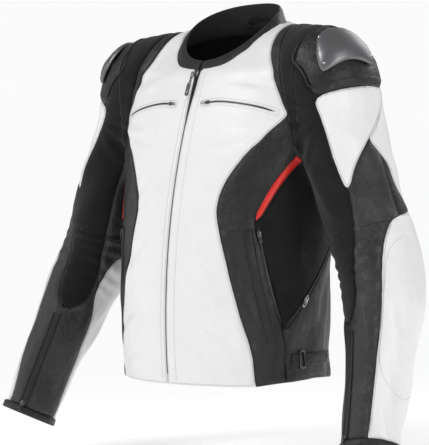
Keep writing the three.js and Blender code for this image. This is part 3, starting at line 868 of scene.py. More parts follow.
def folds(p):
    """How far the leather stands proud or sinks: drag lines, elbow creases and slight unevenness."""
    left = half(p)
    s, angle = arm_angle(left)
    arm = smoothstep(178, 200, left[:, 0])
    turn = np.cos(np.radians(angle - 125))
    lines = np.concatenate([front_line(VENT), side_line(SIDE_ZIP), front_line(POCKET_ZIP, 60)])
    calm = smoothstep(5, 36, nearest_distance(left, lines)) * smoothstep(8, 45, left[:, 0])
    cuff_zip = on_sleeve(CUFF_ZIP["angle"], np.linspace(CUFF_ZIP["closed"] - 0.1, CUFF_ZIP["open"] + 0.1, 80))
    calm_cuff = smoothstep(5, 30, nearest_distance(left, cuff_zip))
    amount = 2.3 * noise(p, 75) + 1.0 * noise(p + 31, 34)
    drag = noise(np.stack([p[:, 0] * 1.5 + p[:, 2] * 0.55, p[:, 1] * 1.3, p[:, 2] * 0.35 - p[:, 0] * 0.3], 1), 30)
    waist = smoothstep(-330, -420, left[:, 2]) * (0.4 + 0.6 * smoothstep(60, 130, left[:, 0]))
    amount += (1 - arm) * 3.4 * drag * waist
    armpit = np.exp(-(((left[:, 0] - 172) / 38) ** 2) - ((left[:, 2] + 205) / 70) ** 2)
    radiate = np.arctan2(left[:, 2] + 150, left[:, 0] - 240)
    amount += 3.2 * armpit * np.sin(radiate * 15 + 2.5 * noise(p, 60)) * smoothstep(-10, 60, np.abs(left[:, 1]))
    amount += 1.25 * creases(p)
    station = s * PER_STATION + 20 * noise(p, 55) + angle * 0.22
    inner = smoothstep(-0.35, 0.85, turn)
    elbow = np.exp(-(((s - 5.25) / 0.62) ** 2))
    amount += arm * 1.5 * elbow * inner * np.sin(station * 2 * math.pi / 27)
    upper = smoothstep(3.1, 3.8, s) * smoothstep(5.0, 4.2, s)
    amount += arm * 1.3 * upper * np.sin((station * 0.55 + angle * 0.9) * 2 * math.pi / 52)
    along = noise(np.stack([angle * 1.12 + s * 34, s * 26, np.sign(p[:, 0]) * 50], 1), 24)
    lower = smoothstep(5.6, 6.6, s)
    amount += arm * 3.4 * lower * along * (1 - 0.5 * smoothstep(8.2, 8.5, s))
    return amount * np.clip(calm + arm, 0, 1) * calm_cuff


# Creases pressed into the front by wear: both ends as (x, z), and depth. They mirror, with some unevenness.
CREASES = [((158, -110), (70, -100), 2.0), ((150, -119), (96, -116), 1.3), ((162, -170), (88, -184), 1.8),
           ((146, -192), (60, -214), 1.6), ((96, -410), (40, -352), 1.5), ((124, -520), (58, -468), 1.8),
           ((104, -560), (50, -540), 1.4), ((84, -300), (44, -262), 1.3)]


CREASE_WIDTH = 11.0


def creases(p):
    """Height of the worn creases: each is a ridge beside a furrow that fades out at both ends."""
    q = np.abs(p[:, 0]) + 4.0 * np.sign(p[:, 0]) + 3 * noise(p, 40)
    z = p[:, 2] + 6.0 * np.sign(p[:, 0]) + 3 * noise(p + 17, 40)
    total = np.zeros(len(p))
    for (x0, z0), (x1, z1), depth in CREASES:
        ex, ez = x1 - x0, z1 - z0
        t = ((q - x0) * ex + (z - z0) * ez) / (ex * ex + ez * ez)
        inside = np.clip(t, 0, 1)
        d = np.hypot(q - x0 - inside * ex, z - z0 - inside * ez)
        side = np.sign(ex * (z - z0) - ez * (q - x0))
        shape = np.exp(-((d / CREASE_WIDTH) ** 2)) * side * d / 6.5
        total += depth * shape * smoothstep(-0.1, 0.25, t) * smoothstep(1.1, 0.6, t)
    return total * (p[:, 1] < 10)


def whole_skin():
    """The form's surface with its folds pressed in."""
    field, origin = form_grid()
    v, quads = surface_nets(field, origin, CELL)
    for _ in range(2):
        g = gradient(field, origin, v)
        v = v - g * (sample(field, origin, v) / np.maximum((g**2).sum(1), 0.2))[:, None]
    g = gradient(field, origin, v)
    n = unit(g)
    t = triangles(quads, v)
    v = v + n * folds(v)[:, None]
    face = np.cross(v[t[:, 1]] - v[t[:, 0]], v[t[:, 2]] - v[t[:, 0]])
    normal = np.zeros_like(v)
    for k in range(3):
        np.add.at(normal, t[:, k], face)
    normal /= np.linalg.norm(normal, axis=1)[:, None] + 1e-12
    turned = (normal * n).sum(1) < 0
    if turned.mean() > 0.5:
        t, normal = t[:, ::-1], -normal
    return Skin(v, normal, t)


def neck_seam_z(sine):
    return -26 + 40 * sine - 14 * sine * sine


def collar_height(sine):
    return COLLAR["front"] + 3 + (COLLAR["back"] - COLLAR["front"] - 4) * (1 + sine) / 2


def neck_field(p):
    """Outside the collar: the panels end inside the thickness of the collar's wall."""
    q = half(p)
    reach = np.hypot(q[:, 0] / NECK["across"], (q[:, 1] - NECK["y"]) / NECK["fore"])
    sine = (q[:, 1] - NECK["y"]) / NECK["fore"] / np.maximum(reach, 0.3)
    v = np.clip((q[:, 2] - neck_seam_z(sine)) / collar_height(sine), 0, 1)
    across = NECK["across"] + (COLLAR["across"] - NECK["across"]) * v
    fore = NECK["fore"] + (COLLAR["fore"] - NECK["fore"]) * v
    ratio = np.hypot(q[:, 0] / across, (q[:, 1] - NECK["y"]) / fore)
    return np.where(q[:, 2] > -95, (ratio - 1) * 88 + 1.0, FAR)


def hem_field(p):
    q = half(p)
    sine = np.clip((q[:, 1] - 12) / 120, -1, 1)
    low = np.where(sine > 0, HEM["back"], HEM["front"])
    z = HEM["side"] + (low - HEM["side"]) * sine * sine
    return np.where(q[:, 0] < 200, q[:, 2] - z, FAR)


CUFF_SEAM = 8.5     # station of the cuff's seam on the sleeve


def cuff_field(p):
    q = half(p)
    s = sleeve_place(q)[0]
    return np.where(q[:, 0] > 250, (CUFF_SEAM - s) * 60, FAR)


# White front: its outline seen from the front, up the side from the hem to the shoulder seam.
FRONT_EDGE = [(150, -640), (137, -580), (132, -533), (122, -471), (109, -408), (92, -346), (83, -312),
              (83, -292), (93, -261), (112, -229), (137, -198), (161, -168), (168, -156), (153, -124),
              (141, -100), (138, -86), (124, -62), (117, -38), (113, -14), (111, 20)]
CORNER = (168, -156)


def front_outline():
    corner = FRONT_EDGE.index(CORNER)
    lower = spline(FRONT_EDGE[: corner + 1], 6)
    upper = spline(FRONT_EDGE[corner:], 6)
    return np.concatenate([[(-80, -640)], lower, upper[1:], [(-80, 20)]])


FRONT_OUTLINE = front_outline()


def front_field(p):
    q = half(p)
    inside = polygon_distance(q[:, 0], q[:, 2], FRONT_OUTLINE)
    return np.minimum(inside, SHOULDER_SEAM_Y - q[:, 1])


def back_field(p):
    q = half(p)
    line = SIDE_SEAM_Y + (SHOULDER_SEAM_Y - SIDE_SEAM_Y) * smoothstep(-190, -110, q[:, 2])
    return q[:, 1] - line


ARMHOLE_X = 185.0


def arm_field(p):
    return half(p)[:, 0] - ARMHOLE_X


def shoulder_field(p):
    """Stretch fabric between the white front and the armhole, above the side's leather."""
    q = half(p)
    return (q[:, 2] - (CORNER[1] - (q[:, 0] - CORNER[0]) * 4)) * 0.24


def line_side(a, b, line, reach=400.0):
    """Distance to a long open line in a chart, positive on its right going along it."""
    pts = spline(line, 8)
    head = pts[0] + (pts[0] - pts[1]) / np.linalg.norm(pts[0] - pts[1]) * reach
    tail = pts[-1] + (pts[-1] - pts[-2]) / np.linalg.norm(pts[-1] - pts[-2]) * reach
    pts = np.concatenate([[head], pts, [tail]])
    best, sign = np.full(a.shape, 1e9), np.ones(a.shape)
    for (x0, y0), (x1, y1) in zip(pts[:-1], pts[1:]):
        ex, ey = x1 - x0, y1 - y0
        t = np.clip(((a - x0) * ex + (b - y0) * ey) / (ex * ex + ey * ey), 0, 1)
        d = (a - x0 - t * ex) ** 2 + (b - y0 - t * ey) ** 2
        side = np.where(ex * (b - y0) - ey * (a - x0) < 0, 1, -1)
        nearer = d < best - 1e-9
        best, sign = np.where(nearer, d, best), np.where(nearer, side, sign)
    return sign * np.sqrt(best)


BEHIND_POCKETS = [(200, -150), (-40, -150), (-50, -222)] + POCKET_LINE + [(-60, -660), (200, -660)]


def side_front_field(p):
    q = half(p)
    return -polygon_distance(q[:, 1], q[:, 2], BEHIND_POCKETS)


def side_rear_field(p):
    q = half(p)
    return line_side(q[:, 1], q[:, 2], SIDE_ZIP)


LUMBAR = {"top": -318.0, "bottom": -392.0, "rise": 26.0}


def lumbar_level(p):
    """Height measured from a line that rises towards the spine."""
    q = half(p)
    return q[:, 2] - LUMBAR["rise"] * (1 - (q[:, 0] / 150) ** 2)


def lumbar_field(edge):
    return lambda p: lumbar_level(p) - LUMBAR[edge]


# Places on a sleeve are (angle, station); one station is about 96 mm and one degree about 1.12 mm.
PER_DEGREE = 1.12
PER_STATION = 96.0
CAP_EDGE = [(78, 1.72), (80, 2.1), (76, 2.51), (39, 2.52), (0, 2.50), (-32, 2.48), (-62, 2.30), (-66, 1.95),
            (-55, 1.66), (-20, 1.54), (20, 1.54), (55, 1.58)]
UPPER_WHITE = [(75, 2.60), (39, 2.52), (0, 2.50), (-31, 2.50), (-27, 2.75), (-17, 2.95), (-2, 3.2), (16, 3.5),
               (40, 3.88), (60, 4.17), (66, 3.86), (71, 3.4), (75, 2.95)]
REAR_WHITE = [(-31, 2.48), (-27, 2.75), (-17, 2.95), (-2, 3.2), (14, 3.49), (0, 3.72), (-14, 3.92),
              (-22, 4.3), (-34, 4.5), (-60, 4.66), (-100, 4.7), (-146, 4.7), (-152, 4.3), (-150, 3.6),
              (-146, 2.6), (-140, 1.6), (-120, 1.2), (-90, 1.5), (-64, 2.1)]
FOREARM_WHITE = [(-36, 4.62), (-16, 4.66), (5, 4.71), (25, 4.82), (40, 5.2), (54, 6.05), (57, 7.0), (58, 7.7),
                 (58, 8.7), (58, 9.4), (-156, 9.4), (-156, 8.6), (-158, 7.6), (-184, 6.5), (-202, 5.9),
                 (-204, 5.4), (-196, 5.12), (-165, 4.86), (-146, 4.72), (-100, 4.72), (-60, 4.68)]
STRETCH_LOW = [(128, 4.2), (60, 4.17), (66, 4.5), (78, 5.0), (88, 5.5), (94, 6.0), (102, 6.28), (116, 6.42),
               (132, 6.38), (146, 6.22), (150, 6.05), (146, 5.6), (136, 5.1)]
WEDGE = [(-60, 5.2), (-60, 2.6), (16, 3.0), (60, 4.17), (67, 4.5), (73, 4.8), (78, 5.2)]
INNER_EDGE = 134.0
INNER_TOP = 3.0
SLEEVE_SPLIT = 4.75


def arm_region(outline, centre, smooth=3):
    """A field positive inside an outline of (angle, station) points, with angles read about centre."""
    def value(p):
        s, angle = arm_angle(half(p))
        angle = (angle - centre + 180) % 360 - 180 + centre
        pts = spline(outline, smooth, closed=True) if smooth else np.array(outline, float)
        return polygon_distance(angle * PER_DEGREE, s * PER_STATION, pts * (PER_DEGREE, PER_STATION))
    return value


def sleeve_split_field(p):
    return (SLEEVE_SPLIT - sleeve_place(half(p))[0]) * PER_STATION


def inner_field(p):
    """Inner side of the sleeve, between the stretch front and the white back, below the armpit."""
    s, angle = arm_angle(half(p))
    return np.minimum((angle % 360 - INNER_EDGE) * PER_DEGREE, (s - INNER_TOP) * PER_STATION)


def hidden_split(p):
    """True where a cut is only a join inside one material, with no seam to see."""
    q = half(p)
    armhole = (np.abs(q[:, 0] - ARMHOLE_X) < 5) & (q[:, 1] < SHOULDER_SEAM_Y) & (q[:, 2] > -240)
    s = sleeve_place(q)[0]
    split = (np.abs(s - SLEEVE_SPLIT) < 0.06) & (q[:, 0] > ARMHOLE_X + 8)
    centre = np.abs(q[:, 0]) < 0.8
    return armhole | split | (centre & (q[:, 1] > 0))


def finish_panel(name, skin, look, rows=(STITCH_INSET,), puff=PANEL_PUFF, drop=1.4):
    """Turns a cut piece of skin into a leather panel with rolled edges and rows of stitching."""
    pairs, count = np.unique(edges(skin.t), axis=0, return_counts=True)
    rim = pairs[count == 1]
    points = np.concatenate([skin.v[rim[:, 0]], skin.v[rim[:, 1]], skin.v[rim].mean(1)])
    seam = points[~hidden_split(points)]
    d = nearest_distance(skin.v, seam) if len(seam) else np.full(len(skin.v), FAR)
    lift = puff * smoothstep(0, 11, d) - drop * np.exp(-((d / 2.4) ** 2))
    v = skin.v + skin.n * lift[:, None]
    obj = make(name, v, skin.t, [MATERIALS[look]])
    set_edge(obj, np.clip(d / 20.0, 0, 1))
    thicken(obj, LEATHER)
    threads = Builder()
    for level in rows:
        for points, normals in lines_at(Skin(v, skin.n, skin.t), d, level):
            if len(points) < 6:
                continue
            for _ in range(2):
                points[1:-1] = (points[:-2] + 2 * points[1:-1] + points[2:]) / 4
            stitch_row(threads, points, normals)
    if not threads.count:
        return [obj]
    stitches = threads.object(name + "_stitching", "thread_white" if look == "white" else "thread_black")
    return [obj, stitches]


def refine(skin):
    """Each triangle made into four."""
    pairs, which = np.unique(edges(skin.t), axis=0, return_inverse=True)
    ab, bc, ca = which.reshape(3, -1) + len(skin.v)
    a, b, c = skin.t.T
    v = np.concatenate([skin.v, skin.v[pairs].mean(1)])
    n = np.concatenate([skin.n, skin.n[pairs].mean(1)])
    t = [np.stack(q, 1) for q in ((a, ab, ca), (ab, b, bc), (ca, bc, c), (ab, bc, ca))]
    return Skin(v, unit(n), np.concatenate(t))


def ribbed(skin):
    """Stretch panel gathered into level ribs, flat again at its top and bottom seams."""
    fine = refine(skin)
    level = lumbar_level(fine.v)
    inside = smoothstep(0, 9, LUMBAR["top"] - level) * smoothstep(0, 9, level - LUMBAR["bottom"])
    fine.v = fine.v + fine.n * (inside * 2.2 * np.abs(np.sin(level * math.pi / 9.25)))[:, None]
    return fine


def split_sides(skin):
    left = skin.v[skin.t].mean(1)[:, 0] > 0
    return (("left", skin.take(left)), ("right", skin.take(~left)))


def follow_shoulder(objects, side, sign):
    for o in objects:
        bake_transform(o)


def follow_elbow(objects, side, sign):
    for o in objects:
        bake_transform(o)


def ride_all(objects, body):
    for o in objects:
        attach(o, body)


# ------------------------------------------------------------------ camera, light and floor
def add_camera():
    az, el = math.radians(CAMERA["azimuth"]), math.radians(CAMERA["elevation"])
    right = Vector((math.cos(az), math.sin(az), 0))
    back = Vector((math.sin(az) * math.cos(el), -math.cos(az) * math.cos(el), math.sin(el)))
    up = back.cross(right)
    camera = bpy.data.objects.new("camera", bpy.data.cameras.new("camera"))
    bpy.context.scene.collection.objects.link(camera)
    camera.data.lens = CAMERA["lens"]
    camera.data.sensor_width = 36.0
    camera.data.clip_end = 50.0
    camera.location = right * CAMERA["right"] + up * CAMERA["up"] + back * CAMERA["distance"]
    camera.rotation_euler = back.to_track_quat("Z", "Y").to_euler()
    bpy.context.scene.camera = camera


def add_light(name, spot, target, size, power):
    light = bpy.data.lights.new(name, "AREA")
    light.shape = "RECTANGLE"
    light.size, light.size_y = size
    light.energy = power
    obj = bpy.data.objects.new(name, light)
    bpy.context.scene.collection.objects.link(obj)
    obj.location = spot
    obj.rotation_euler = (Vector(spot) - Vector(target)).to_track_quat("Z", "Y").to_euler()


def fade_to_paper(tree, shader):
    """The far floor runs into the background, as on a studio sweep; only the camera sees this."""
    coords, out = place(tree)
    reach = node(tree, "ShaderNodeVectorMath", operation="LENGTH")
    link(tree, coords, out, reach, 0)
    fade = node(tree, "ShaderNodeMapRange")
    for i, value in ((1, 0.85), (2, 1.7), (3, 0.0), (4, 1.0)):
        fade.inputs[i].default_value = value
    link(tree, reach, "Value", fade, "Value")
    seen = node(tree, "ShaderNodeLightPath")
    both = node(tree, "ShaderNodeMath", operation="MULTIPLY")
    link(tree, fade, "Result", both, 0)
    link(tree, seen, "Is Camera Ray", both, 1)
    paper = node(tree, "ShaderNodeEmission", Color=(1.0, 1.0, 1.0, 1), Strength=0.96)
    choice = node(tree, "ShaderNodeMixShader")
    link(tree, both, 0, choice, "Fac")
    link(tree, shader, 0, choice, 1)
    link(tree, paper, 0, choice, 2)
    link(tree, choice, 0, tree.nodes["Material Output"], "Surface")


def add_studio():
    """White surroundings for the camera, dimmer ones for the light, four area lamps and a floor."""
    world = bpy.data.worlds.new("studio")
    world.use_nodes = True
    tree = world.node_tree
    background = tree.nodes["Background"]
    background.inputs["Color"].default_value = (1.0, 1.0, 1.0, 1)
    background.inputs["Strength"].default_value = 0.31
    paper = node(tree, "ShaderNodeBackground", Color=(1.0, 1.0, 1.0, 1), Strength=0.96)
    seen = node(tree, "ShaderNodeLightPath")
    choice = node(tree, "ShaderNodeMixShader")
    link(tree, seen, "Is Camera Ray", choice, "Fac")
    tree.links.new(background.outputs[0], choice.inputs[1])
    tree.links.new(paper.outputs[0], choice.inputs[2])
    tree.links.new(choice.outputs[0], tree.nodes["World Output"].inputs["Surface"])
    bpy.context.scene.world = world
    middle = (0.05, 0, -0.3)
    add_light("key", (-0.7, -2.5, 2.1), middle, (1.1, 1.1), 46)
    add_light("side", (2.7, -0.4, 0.5), middle, (0.7, 1.8), 22)
    add_light("fill", (-2.4, -1.2, 0.3), middle, (1.2, 1.8), 9)
    add_light("rim", (0.2, 2.6, 1.4), middle, (2.0, 1.4), 20)
    mesh = bpy.data.meshes.new("floor")
    size, low = 6.0, -0.735
    mesh.from_pydata([(-size, -size, low), (size, -size, low), (size, size, low), (-size, size, low)], [],
                     [(0, 1, 2, 3)])
    floor = bpy.data.objects.new("floor", mesh)
    bpy.context.scene.collection.objects.link(floor)
    m, tree, shader = principled("floor_white", Roughness=0.95, Emission_Strength=0.42)
    shader.inputs["Base Color"].default_value = (0.88, 0.88, 0.88, 1)
    shader.inputs["Emission Color"].default_value = (1.0, 1.0, 1.0, 1)
    fade_to_paper(tree, shader)
    mesh.materials.append(m)
    bpy.context.scene.view_settings.view_transform = "Standard"


add_camera()
add_studio()

SKIN = whole_skin()
DRAPE = BVHTree.FromPolygons([tuple(p) for p in SKIN.v], [tuple(t) for t in SKIN.t.tolist()])


# ------------------------------------------------------------------ trims laid on the leather
def drape(points):
    """The nearest places on the skin, with their outward normals."""
    hits = [DRAPE.find_nearest(Vector(q)) for q in points]
    p = np.array([tuple(h[0]) for h in hits])
    tri = SKIN.t[[h[2] for h in hits]]
    a, b, c = (SKIN.v[tri[:, k]] for k in range(3))
    flat = np.cross(b - a, c - a)
    area = (flat**2).sum(1)
    wa = (np.cross(b - p, c - p) * flat).sum(1) / area
    wb = (np.cross(c - p, a - p) * flat).sum(1) / area
    n = (SKIN.n[tri[:, 0]] * wa[:, None] + SKIN.n[tri[:, 1]] * wb[:, None]
         + SKIN.n[tri[:, 2]] * (1 - wa - wb)[:, None])
    return p, unit(n)


def even(points, step):
    """The line's points at even spacing, both ends kept."""
    p = np.asarray(points, float)
    d = lengths(p)
    count = max(int(round(d[-1] / step)), 2) + 1
    return read_at(np.linspace(0, d[-1], count), d, p)


def skin_line(points, sign=1.0, step=3.0, smooth=2):
    p, n = drape(even(points, step) * (sign, 1, 1))
    for _ in range(smooth):
        p[1:-1] = (p[:-2] + 2 * p[1:-1] + p[2:]) / 4
        n[1:-1] = (n[:-2] + 2 * n[1:-1] + n[2:]) / 4
    return p, unit(n)


def offset_line(p, n, aside, lift=0.0):
    """A line beside another one, on the same surface."""
    return p + line_frame(p, n)[1] * np.reshape(aside, (-1, 1)) + n * lift


def both_sides(p, n, aside, lift=0.0):
    """Two lines beside a line, one on each side, with its normals."""
    return [(offset_line(p, n, edge * aside, lift), n) for edge in (-1, 1)]


def taper(count, ends):
    """Widths from 1 in the middle to nearly 0 at both ends."""
    t = np.linspace(0, 1, count)
    return np.clip(np.sqrt(np.minimum(t, 1 - t) / ends), 0.05, 1)


def finish_piece(obj, body, replaces=None):
    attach(obj, body)
    if replaces:
        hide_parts(replaces)


def leather_and_lining():
    return [MATERIALS["black"], MATERIALS["lining"]]


def solid(name, v, faces, look, body, slot, replaces=None):
    finish_piece(make(name, v, faces, [MATERIALS[look]]), body, replaces)


def strips(name, lines, profile, look, body):
    """The same section swept along several (points, normals) lines, as one piece."""
    b = Builder()
    for p, n in lines:
        b.add(*sweep(p, n, profile))
    finish_piece(b.object(name, look), body)


def stitched(name, lines, thread, body, slot, **more):
    """Rows of stitching along (points, normals) lines, as one piece."""
    rows = Builder()
    for p, n in lines:
        stitch_row(rows, p, n, **more)
    obj = rows.object(name, thread)
    if body:
        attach(obj, body)
    return obj


def teeth(name, p, n, body, replaces=None, pitch=2.6, width=4.0, height=1.1, lift=0.0):
    """Two interlocked rows of zip teeth."""
    builder = Builder()
    for i, (c, u, d) in enumerate(zip(*resample(p, n, pitch / 2))):
        side = np.cross(d, u)
        hand = 1 if i % 2 else -1
        base = c + u * lift
        v = []
        for z, w in ((0, 1.0), (height, 0.7)):
            for a, b in ((-0.12, -0.36), (0.62, -0.36), (0.62, 0.36), (-0.12, 0.36)):
                v.append(base + side * hand * a * width * 0.8 + d * b * pitch * w + u * z)
        faces = [(0, 3, 2, 1), (4, 5, 6, 7), (0, 1, 5, 4), (1, 2, 6, 5), (2, 3, 7, 6), (3, 0, 4, 7)]
        if hand < 0:
            faces = [tuple(reversed(f)) for f in faces]
        builder.add(v, faces)
    finish_piece(builder.object(name, "teeth", smooth=False), body, replaces)


def frame_at(centre, normal, along):
    """A place with its sideways, along and up directions."""
    n = np.asarray(normal, float) / np.linalg.norm(normal)
    d = np.asarray(along, float) - n * np.dot(along, n)
    d /= np.linalg.norm(d)
    return np.asarray(centre, float), np.cross(d, n), d, n


def plate(builder, axes, outline, low, high, bevel=0.4, hole=None):
    """A flat bevelled plate, with an optional hole of as many points as its outline."""
    c, side, along, up = axes
    outline = np.asarray(outline, float)
    k = len(outline)
    middle = outline.mean(0)
    small = middle + (outline - middle) * (1 - bevel / np.abs(outline - middle).max())
    levels = [(small, low), (outline, low + bevel), (outline, high - bevel), (small, high)]
    if hole is not None:
        levels += [(hole, high - bevel * 0.5), (hole, low + bevel * 0.5)]
    v = [c + side * a + along * b + up * z for ring, z in levels for a, b in ring]
    if hole is None:
        faces = [tuple(reversed(range(k)))] + grid_faces(4, k, wrap=True) + [tuple(range(3 * k, 4 * k))]
    else:
        faces = grid_faces(6, k, wrap=True, ring=True)
    builder.add(v, faces)


def rounded(width, length, radius, count=5):
    """A rounded rectangle's outline, counter-clockwise."""
    out = []
    for cx, cy, start in ((1, 1, 0), (-1, 1, 90), (-1, -1, 180), (1, -1, 270)):
        for a in np.radians(np.linspace(start, start + 90, count)):
            out.append((cx * (width / 2 - radius) + radius * math.cos(a),
                        cy * (length / 2 - radius) + radius * math.sin(a)))
    return out


def dome(builder, axes, radius, height, lip=False):
    """A round button or rivet head."""
    rings, around = 4, 16
    c, side, along, up = axes
    angles = np.linspace(0, 2 * math.pi, around, endpoint=False)
    shape = [(radius, -0.6), (radius, height * 0.35)]
    if lip:
        shape += [(radius * 0.86, height * 0.55), (radius * 0.72, height * 0.4)]
    shape += [(radius * (0.7 if lip else 1.0) * math.cos(t), height * (0.4 + 0.6 * math.sin(t)))
              for t in np.linspace(0.25, 1.35, rings)]
    v = [c + side * r * math.cos(a) + along * r * math.sin(a) + up * z for r, z in shape for a in angles]
    v.append(c + up * height)
    last = (len(shape) - 1) * around
    faces = grid_faces(len(shape), around, wrap=True)
    faces += [(last + j, last + (j + 1) % around, len(v) - 1) for j in range(around)]
    faces.append(tuple(reversed(range(around))))
    builder.add(v, faces)


def eyed(builder, axes, width, length, radius, low, high, bevel, eye, drop=0.0):
    """A rounded plate with an eye: eye is the hole's share of its width and length."""
    outer = rounded(width, length, radius)
    plate(builder, axes, outer, low, high, bevel, hole=[(x * eye[0], y * eye[1] - drop) for x, y in outer])


def slider(name, centre, normal, along, body, replaces, size=1.0, tab=True, lift=1.2, look="gunmetal"):
    """A zip slider: shell, bridge and, where it has one, its own small tab."""
    b = Builder()
    f = frame_at(centre + np.asarray(normal) * lift, normal, along)
    right = [(2.6, 6.2), (4.4, 3.2), (4.2, -2.0), (3.0, -6.0)]
    shell = right + [(-x, y) for x, y in reversed(right)]
    plate(b, f, [(x * size, y * size) for x, y in shell], 0.2 * size, 1.7 * size, 0.35)
    keel = [(0.3, 4.5), (-0.3, 4.5), (-0.3, -4.5), (0.3, -4.5)]
    plate(b, f, [(x * size, y * size) for x, y in keel], -2.6 * size, 0.6 * size, 0.05)
    arch = spline([(-4.2, 1.4), (-3.4, 3.0), (0, 3.7), (3.4, 3.0), (4.2, 1.4)], 4)
    p = np.array([f[0] + f[2] * y * size + f[3] * z * size for y, z in arch])
    b.add(*sweep(p, np.tile(f[1], (len(p), 1)), [(-0.5, -1.0), (0.5, -1.0), (0.5, 1.0), (-0.5, 1.0)]))
    if tab:
        reach = frame_at(f[0] + f[3] * 2.7 * size - f[2] * 9.5 * size, f[3], f[2])
        eyed(b, reach, 5.4 * size, 15 * size, 2.2 * size, 0.0, 1.3 * size, 0.3, (0.55, 0.72))
    finish_piece(b.object(name, look), body, replaces)


def cad_centre(name):
    """The middle of a CAD node, in millimetres."""
    low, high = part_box(name)
    return np.array([(a + b) / 2 / MM for a, b in zip(low, high)])


# ------------------------------------------------------------------ front zip
PLACKET = {"top": -88.0, "closed": -188.0, "wide": 4.4, "narrow": 0.45}


def placket_edge(z):
    return PLACKET["narrow"] + (PLACKET["wide"] - PLACKET["narrow"]) * smoothstep(
        PLACKET["closed"], PLACKET["top"], z)


def zip_arc(z):
    z = np.asarray(z, float)
    y = ZIP_ARC["y"] - np.sqrt(ZIP_ARC["radius"] ** 2 - (z - ZIP_ARC["z"]) ** 2)
    p = np.stack([np.zeros_like(z), y, z], 1)
    n = p - np.array([0, ZIP_ARC["y"], ZIP_ARC["z"]])
    return p, unit(n)


def build_front_zip():
    p, n = zip_arc(np.arange(-84.0, -566.0, -2.0))
    teeth("front_zip_teeth", p, n, "jacket", "front_zip_chain", pitch=3.0, width=4.4, height=1.5, lift=-2.6)
    tape = [(-14, -4.4), (14, -4.4), (14, -3.4), (-14, -3.4)]
    solid("front_zip_tape", *sweep(p, n, tape), "tape", "jacket", "lining_fabric")
    rows = []
    for sign, x in ((1, 19.0), (-1, 9.0)):
        q, m = skin_line(torso_front(np.full(60, x), np.linspace(-84, -574, 60)), sign)
        rows.append((q + m * 0.75, m))
    stitched("placket_stitching", rows, "thread_white", "jacket", "white_leather")
    spot, normal = zip_arc(cad_centre("front_zip_slider")[2:])
    slider("front_slider_body", spot[0], normal[0], (0, -0.2, 1), "front_slider", "front_zip_slider", 1.15,
           tab=False, lift=0.6)
    build_puller()


def build_puller():
    """Ring, link and tab hanging from the front slider."""
    low, high = (np.array(corner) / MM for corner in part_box("front_zip_pull"))
    top = np.array([0, low[1] + 13.0, high[2] - 1.5])
    bottom = np.array([-5.0, low[1] + 1.0, low[2] + 1.0])
    along = (top - bottom) / np.linalg.norm(top - bottom)
    ring, bar, tab = (frame_at(top - along * down, (0, -1.0, 0.25), along) for down in (4, 13, 28.5))
    b = Builder()
    eyed(b, ring, 5.0, 11, 2.3, -0.7, 0.7, 0.3, (0.5, 0.66))
    plate(b, bar, rounded(3.2, 10, 1.5), -0.9, 0.9, 0.4)
    eyed(b, tab, 6.4, 22, 2.6, -1.2, 1.2, 0.6, (0.42, 0.3), drop=4)
    finish_piece(b.object("front_puller", "gunmetal"), "front_pull", "front_zip_pull")


# ------------------------------------------------------------------ vents, stripe, pockets, side zips, straps
def build_chest_vent(side, sign):
    p, n = skin_line(front_line(VENT), sign)
    width = 1.7 * taper(len(p), 0.16)
    gap = [(-1, 0.5), (1, 0.5), (1, 1.25), (-1, 1.25)]
    solid(f"chest_vent_gap_{side}", *sweep(p, n, gap, scale=width), "tape", "jacket", "zip_teeth",
          f"chest_vent_zip_{side}")
    lip = [(-1.0, 0.2), (1.0, 0.2), (1.0, 1.2), (0.5, 1.5), (-0.5, 1.5), (-1.0, 1.2)]
    seams = both_sides(p, n, width + 0.75)
    strips(f"chest_vent_lips_{side}", seams, lip, "white", "jacket")
    teeth(f"chest_vent_teeth_{side}", p[2:-2], n[2:-2], "jacket", pitch=2.4, width=2.6, height=0.5, lift=1.1)
    along, across = line_frame(p, n)
    reach = 6.0         # from the vent to the stitching round it
    ends = np.radians(np.linspace(-90, 90, 9))[:, None]
    right, left = (p[i] + turn * reach * (along[i] * np.cos(ends) - across[i] * np.sin(ends))
                   for i, turn in ((-1, 1), (0, -1)))
    loop = np.concatenate([offset_line(p, n, reach), right, offset_line(p, n, -reach)[::-1], left])
    q, m = drape(np.concatenate([loop, loop[:1]]))
    stitched(f"chest_vent_stitching_{side}", [(q + m * 0.75, m)], "thread_white", "jacket", "white_leather")
    i = nearest_index(p, f"chest_vent_slider_{side}")
    slider(f"chest_slider_{side}", p[i], n[i], along[i], f"vent_slider_{side}", f"chest_vent_slider_{side}", 0.72,
           lift=1.7)


def nearest_index(points, name):
    """Which of a line's points is nearest to a CAD node."""
    return int(np.argmin(np.linalg.norm(points - cad_centre(name), axis=1)))


def build_stripe(side, sign):
    """The red stripe: a crowned strip, wider at its top, with stitching and piping."""
    p, n = skin_line(front_line(STRIPE), sign)
    t = np.linspace(0, 1, len(p))
    width = (9 + 4.5 * t) * np.clip(0.12 + t / 0.10, 0, 1)
    across = line_frame(p, n)[1]
    section = [(a / 2, 1.1 + 1.3 * (1 - a * a)) for a in np.linspace(1, -1, 7)] + [(-0.5, 0.2), (0.5, 0.2)]
    v = [p[i] + across[i] * width[i] * a + n[i] * z for i in range(len(p)) for a, z in section]
    solid(f"red_stripe_{side}", v, tube_faces(len(p), len(section)), "red", "jacket", "red_leather",
          f"side_stripe_{side}")
    rows = [(q[3:], m[3:]) for q, m in both_sides(p, n, width / 2 - 1.7, 1.9)]
    stitched(f"red_stripe_stitching_{side}", rows, "thread_red", "jacket", "red_leather", pitch=3.0, length=2.0)
    strips(f"red_stripe_piping_{side}", both_sides(p, n, width / 2 + 0.6), round_profile(1.0, 0.9, 8),
           "black", "jacket")


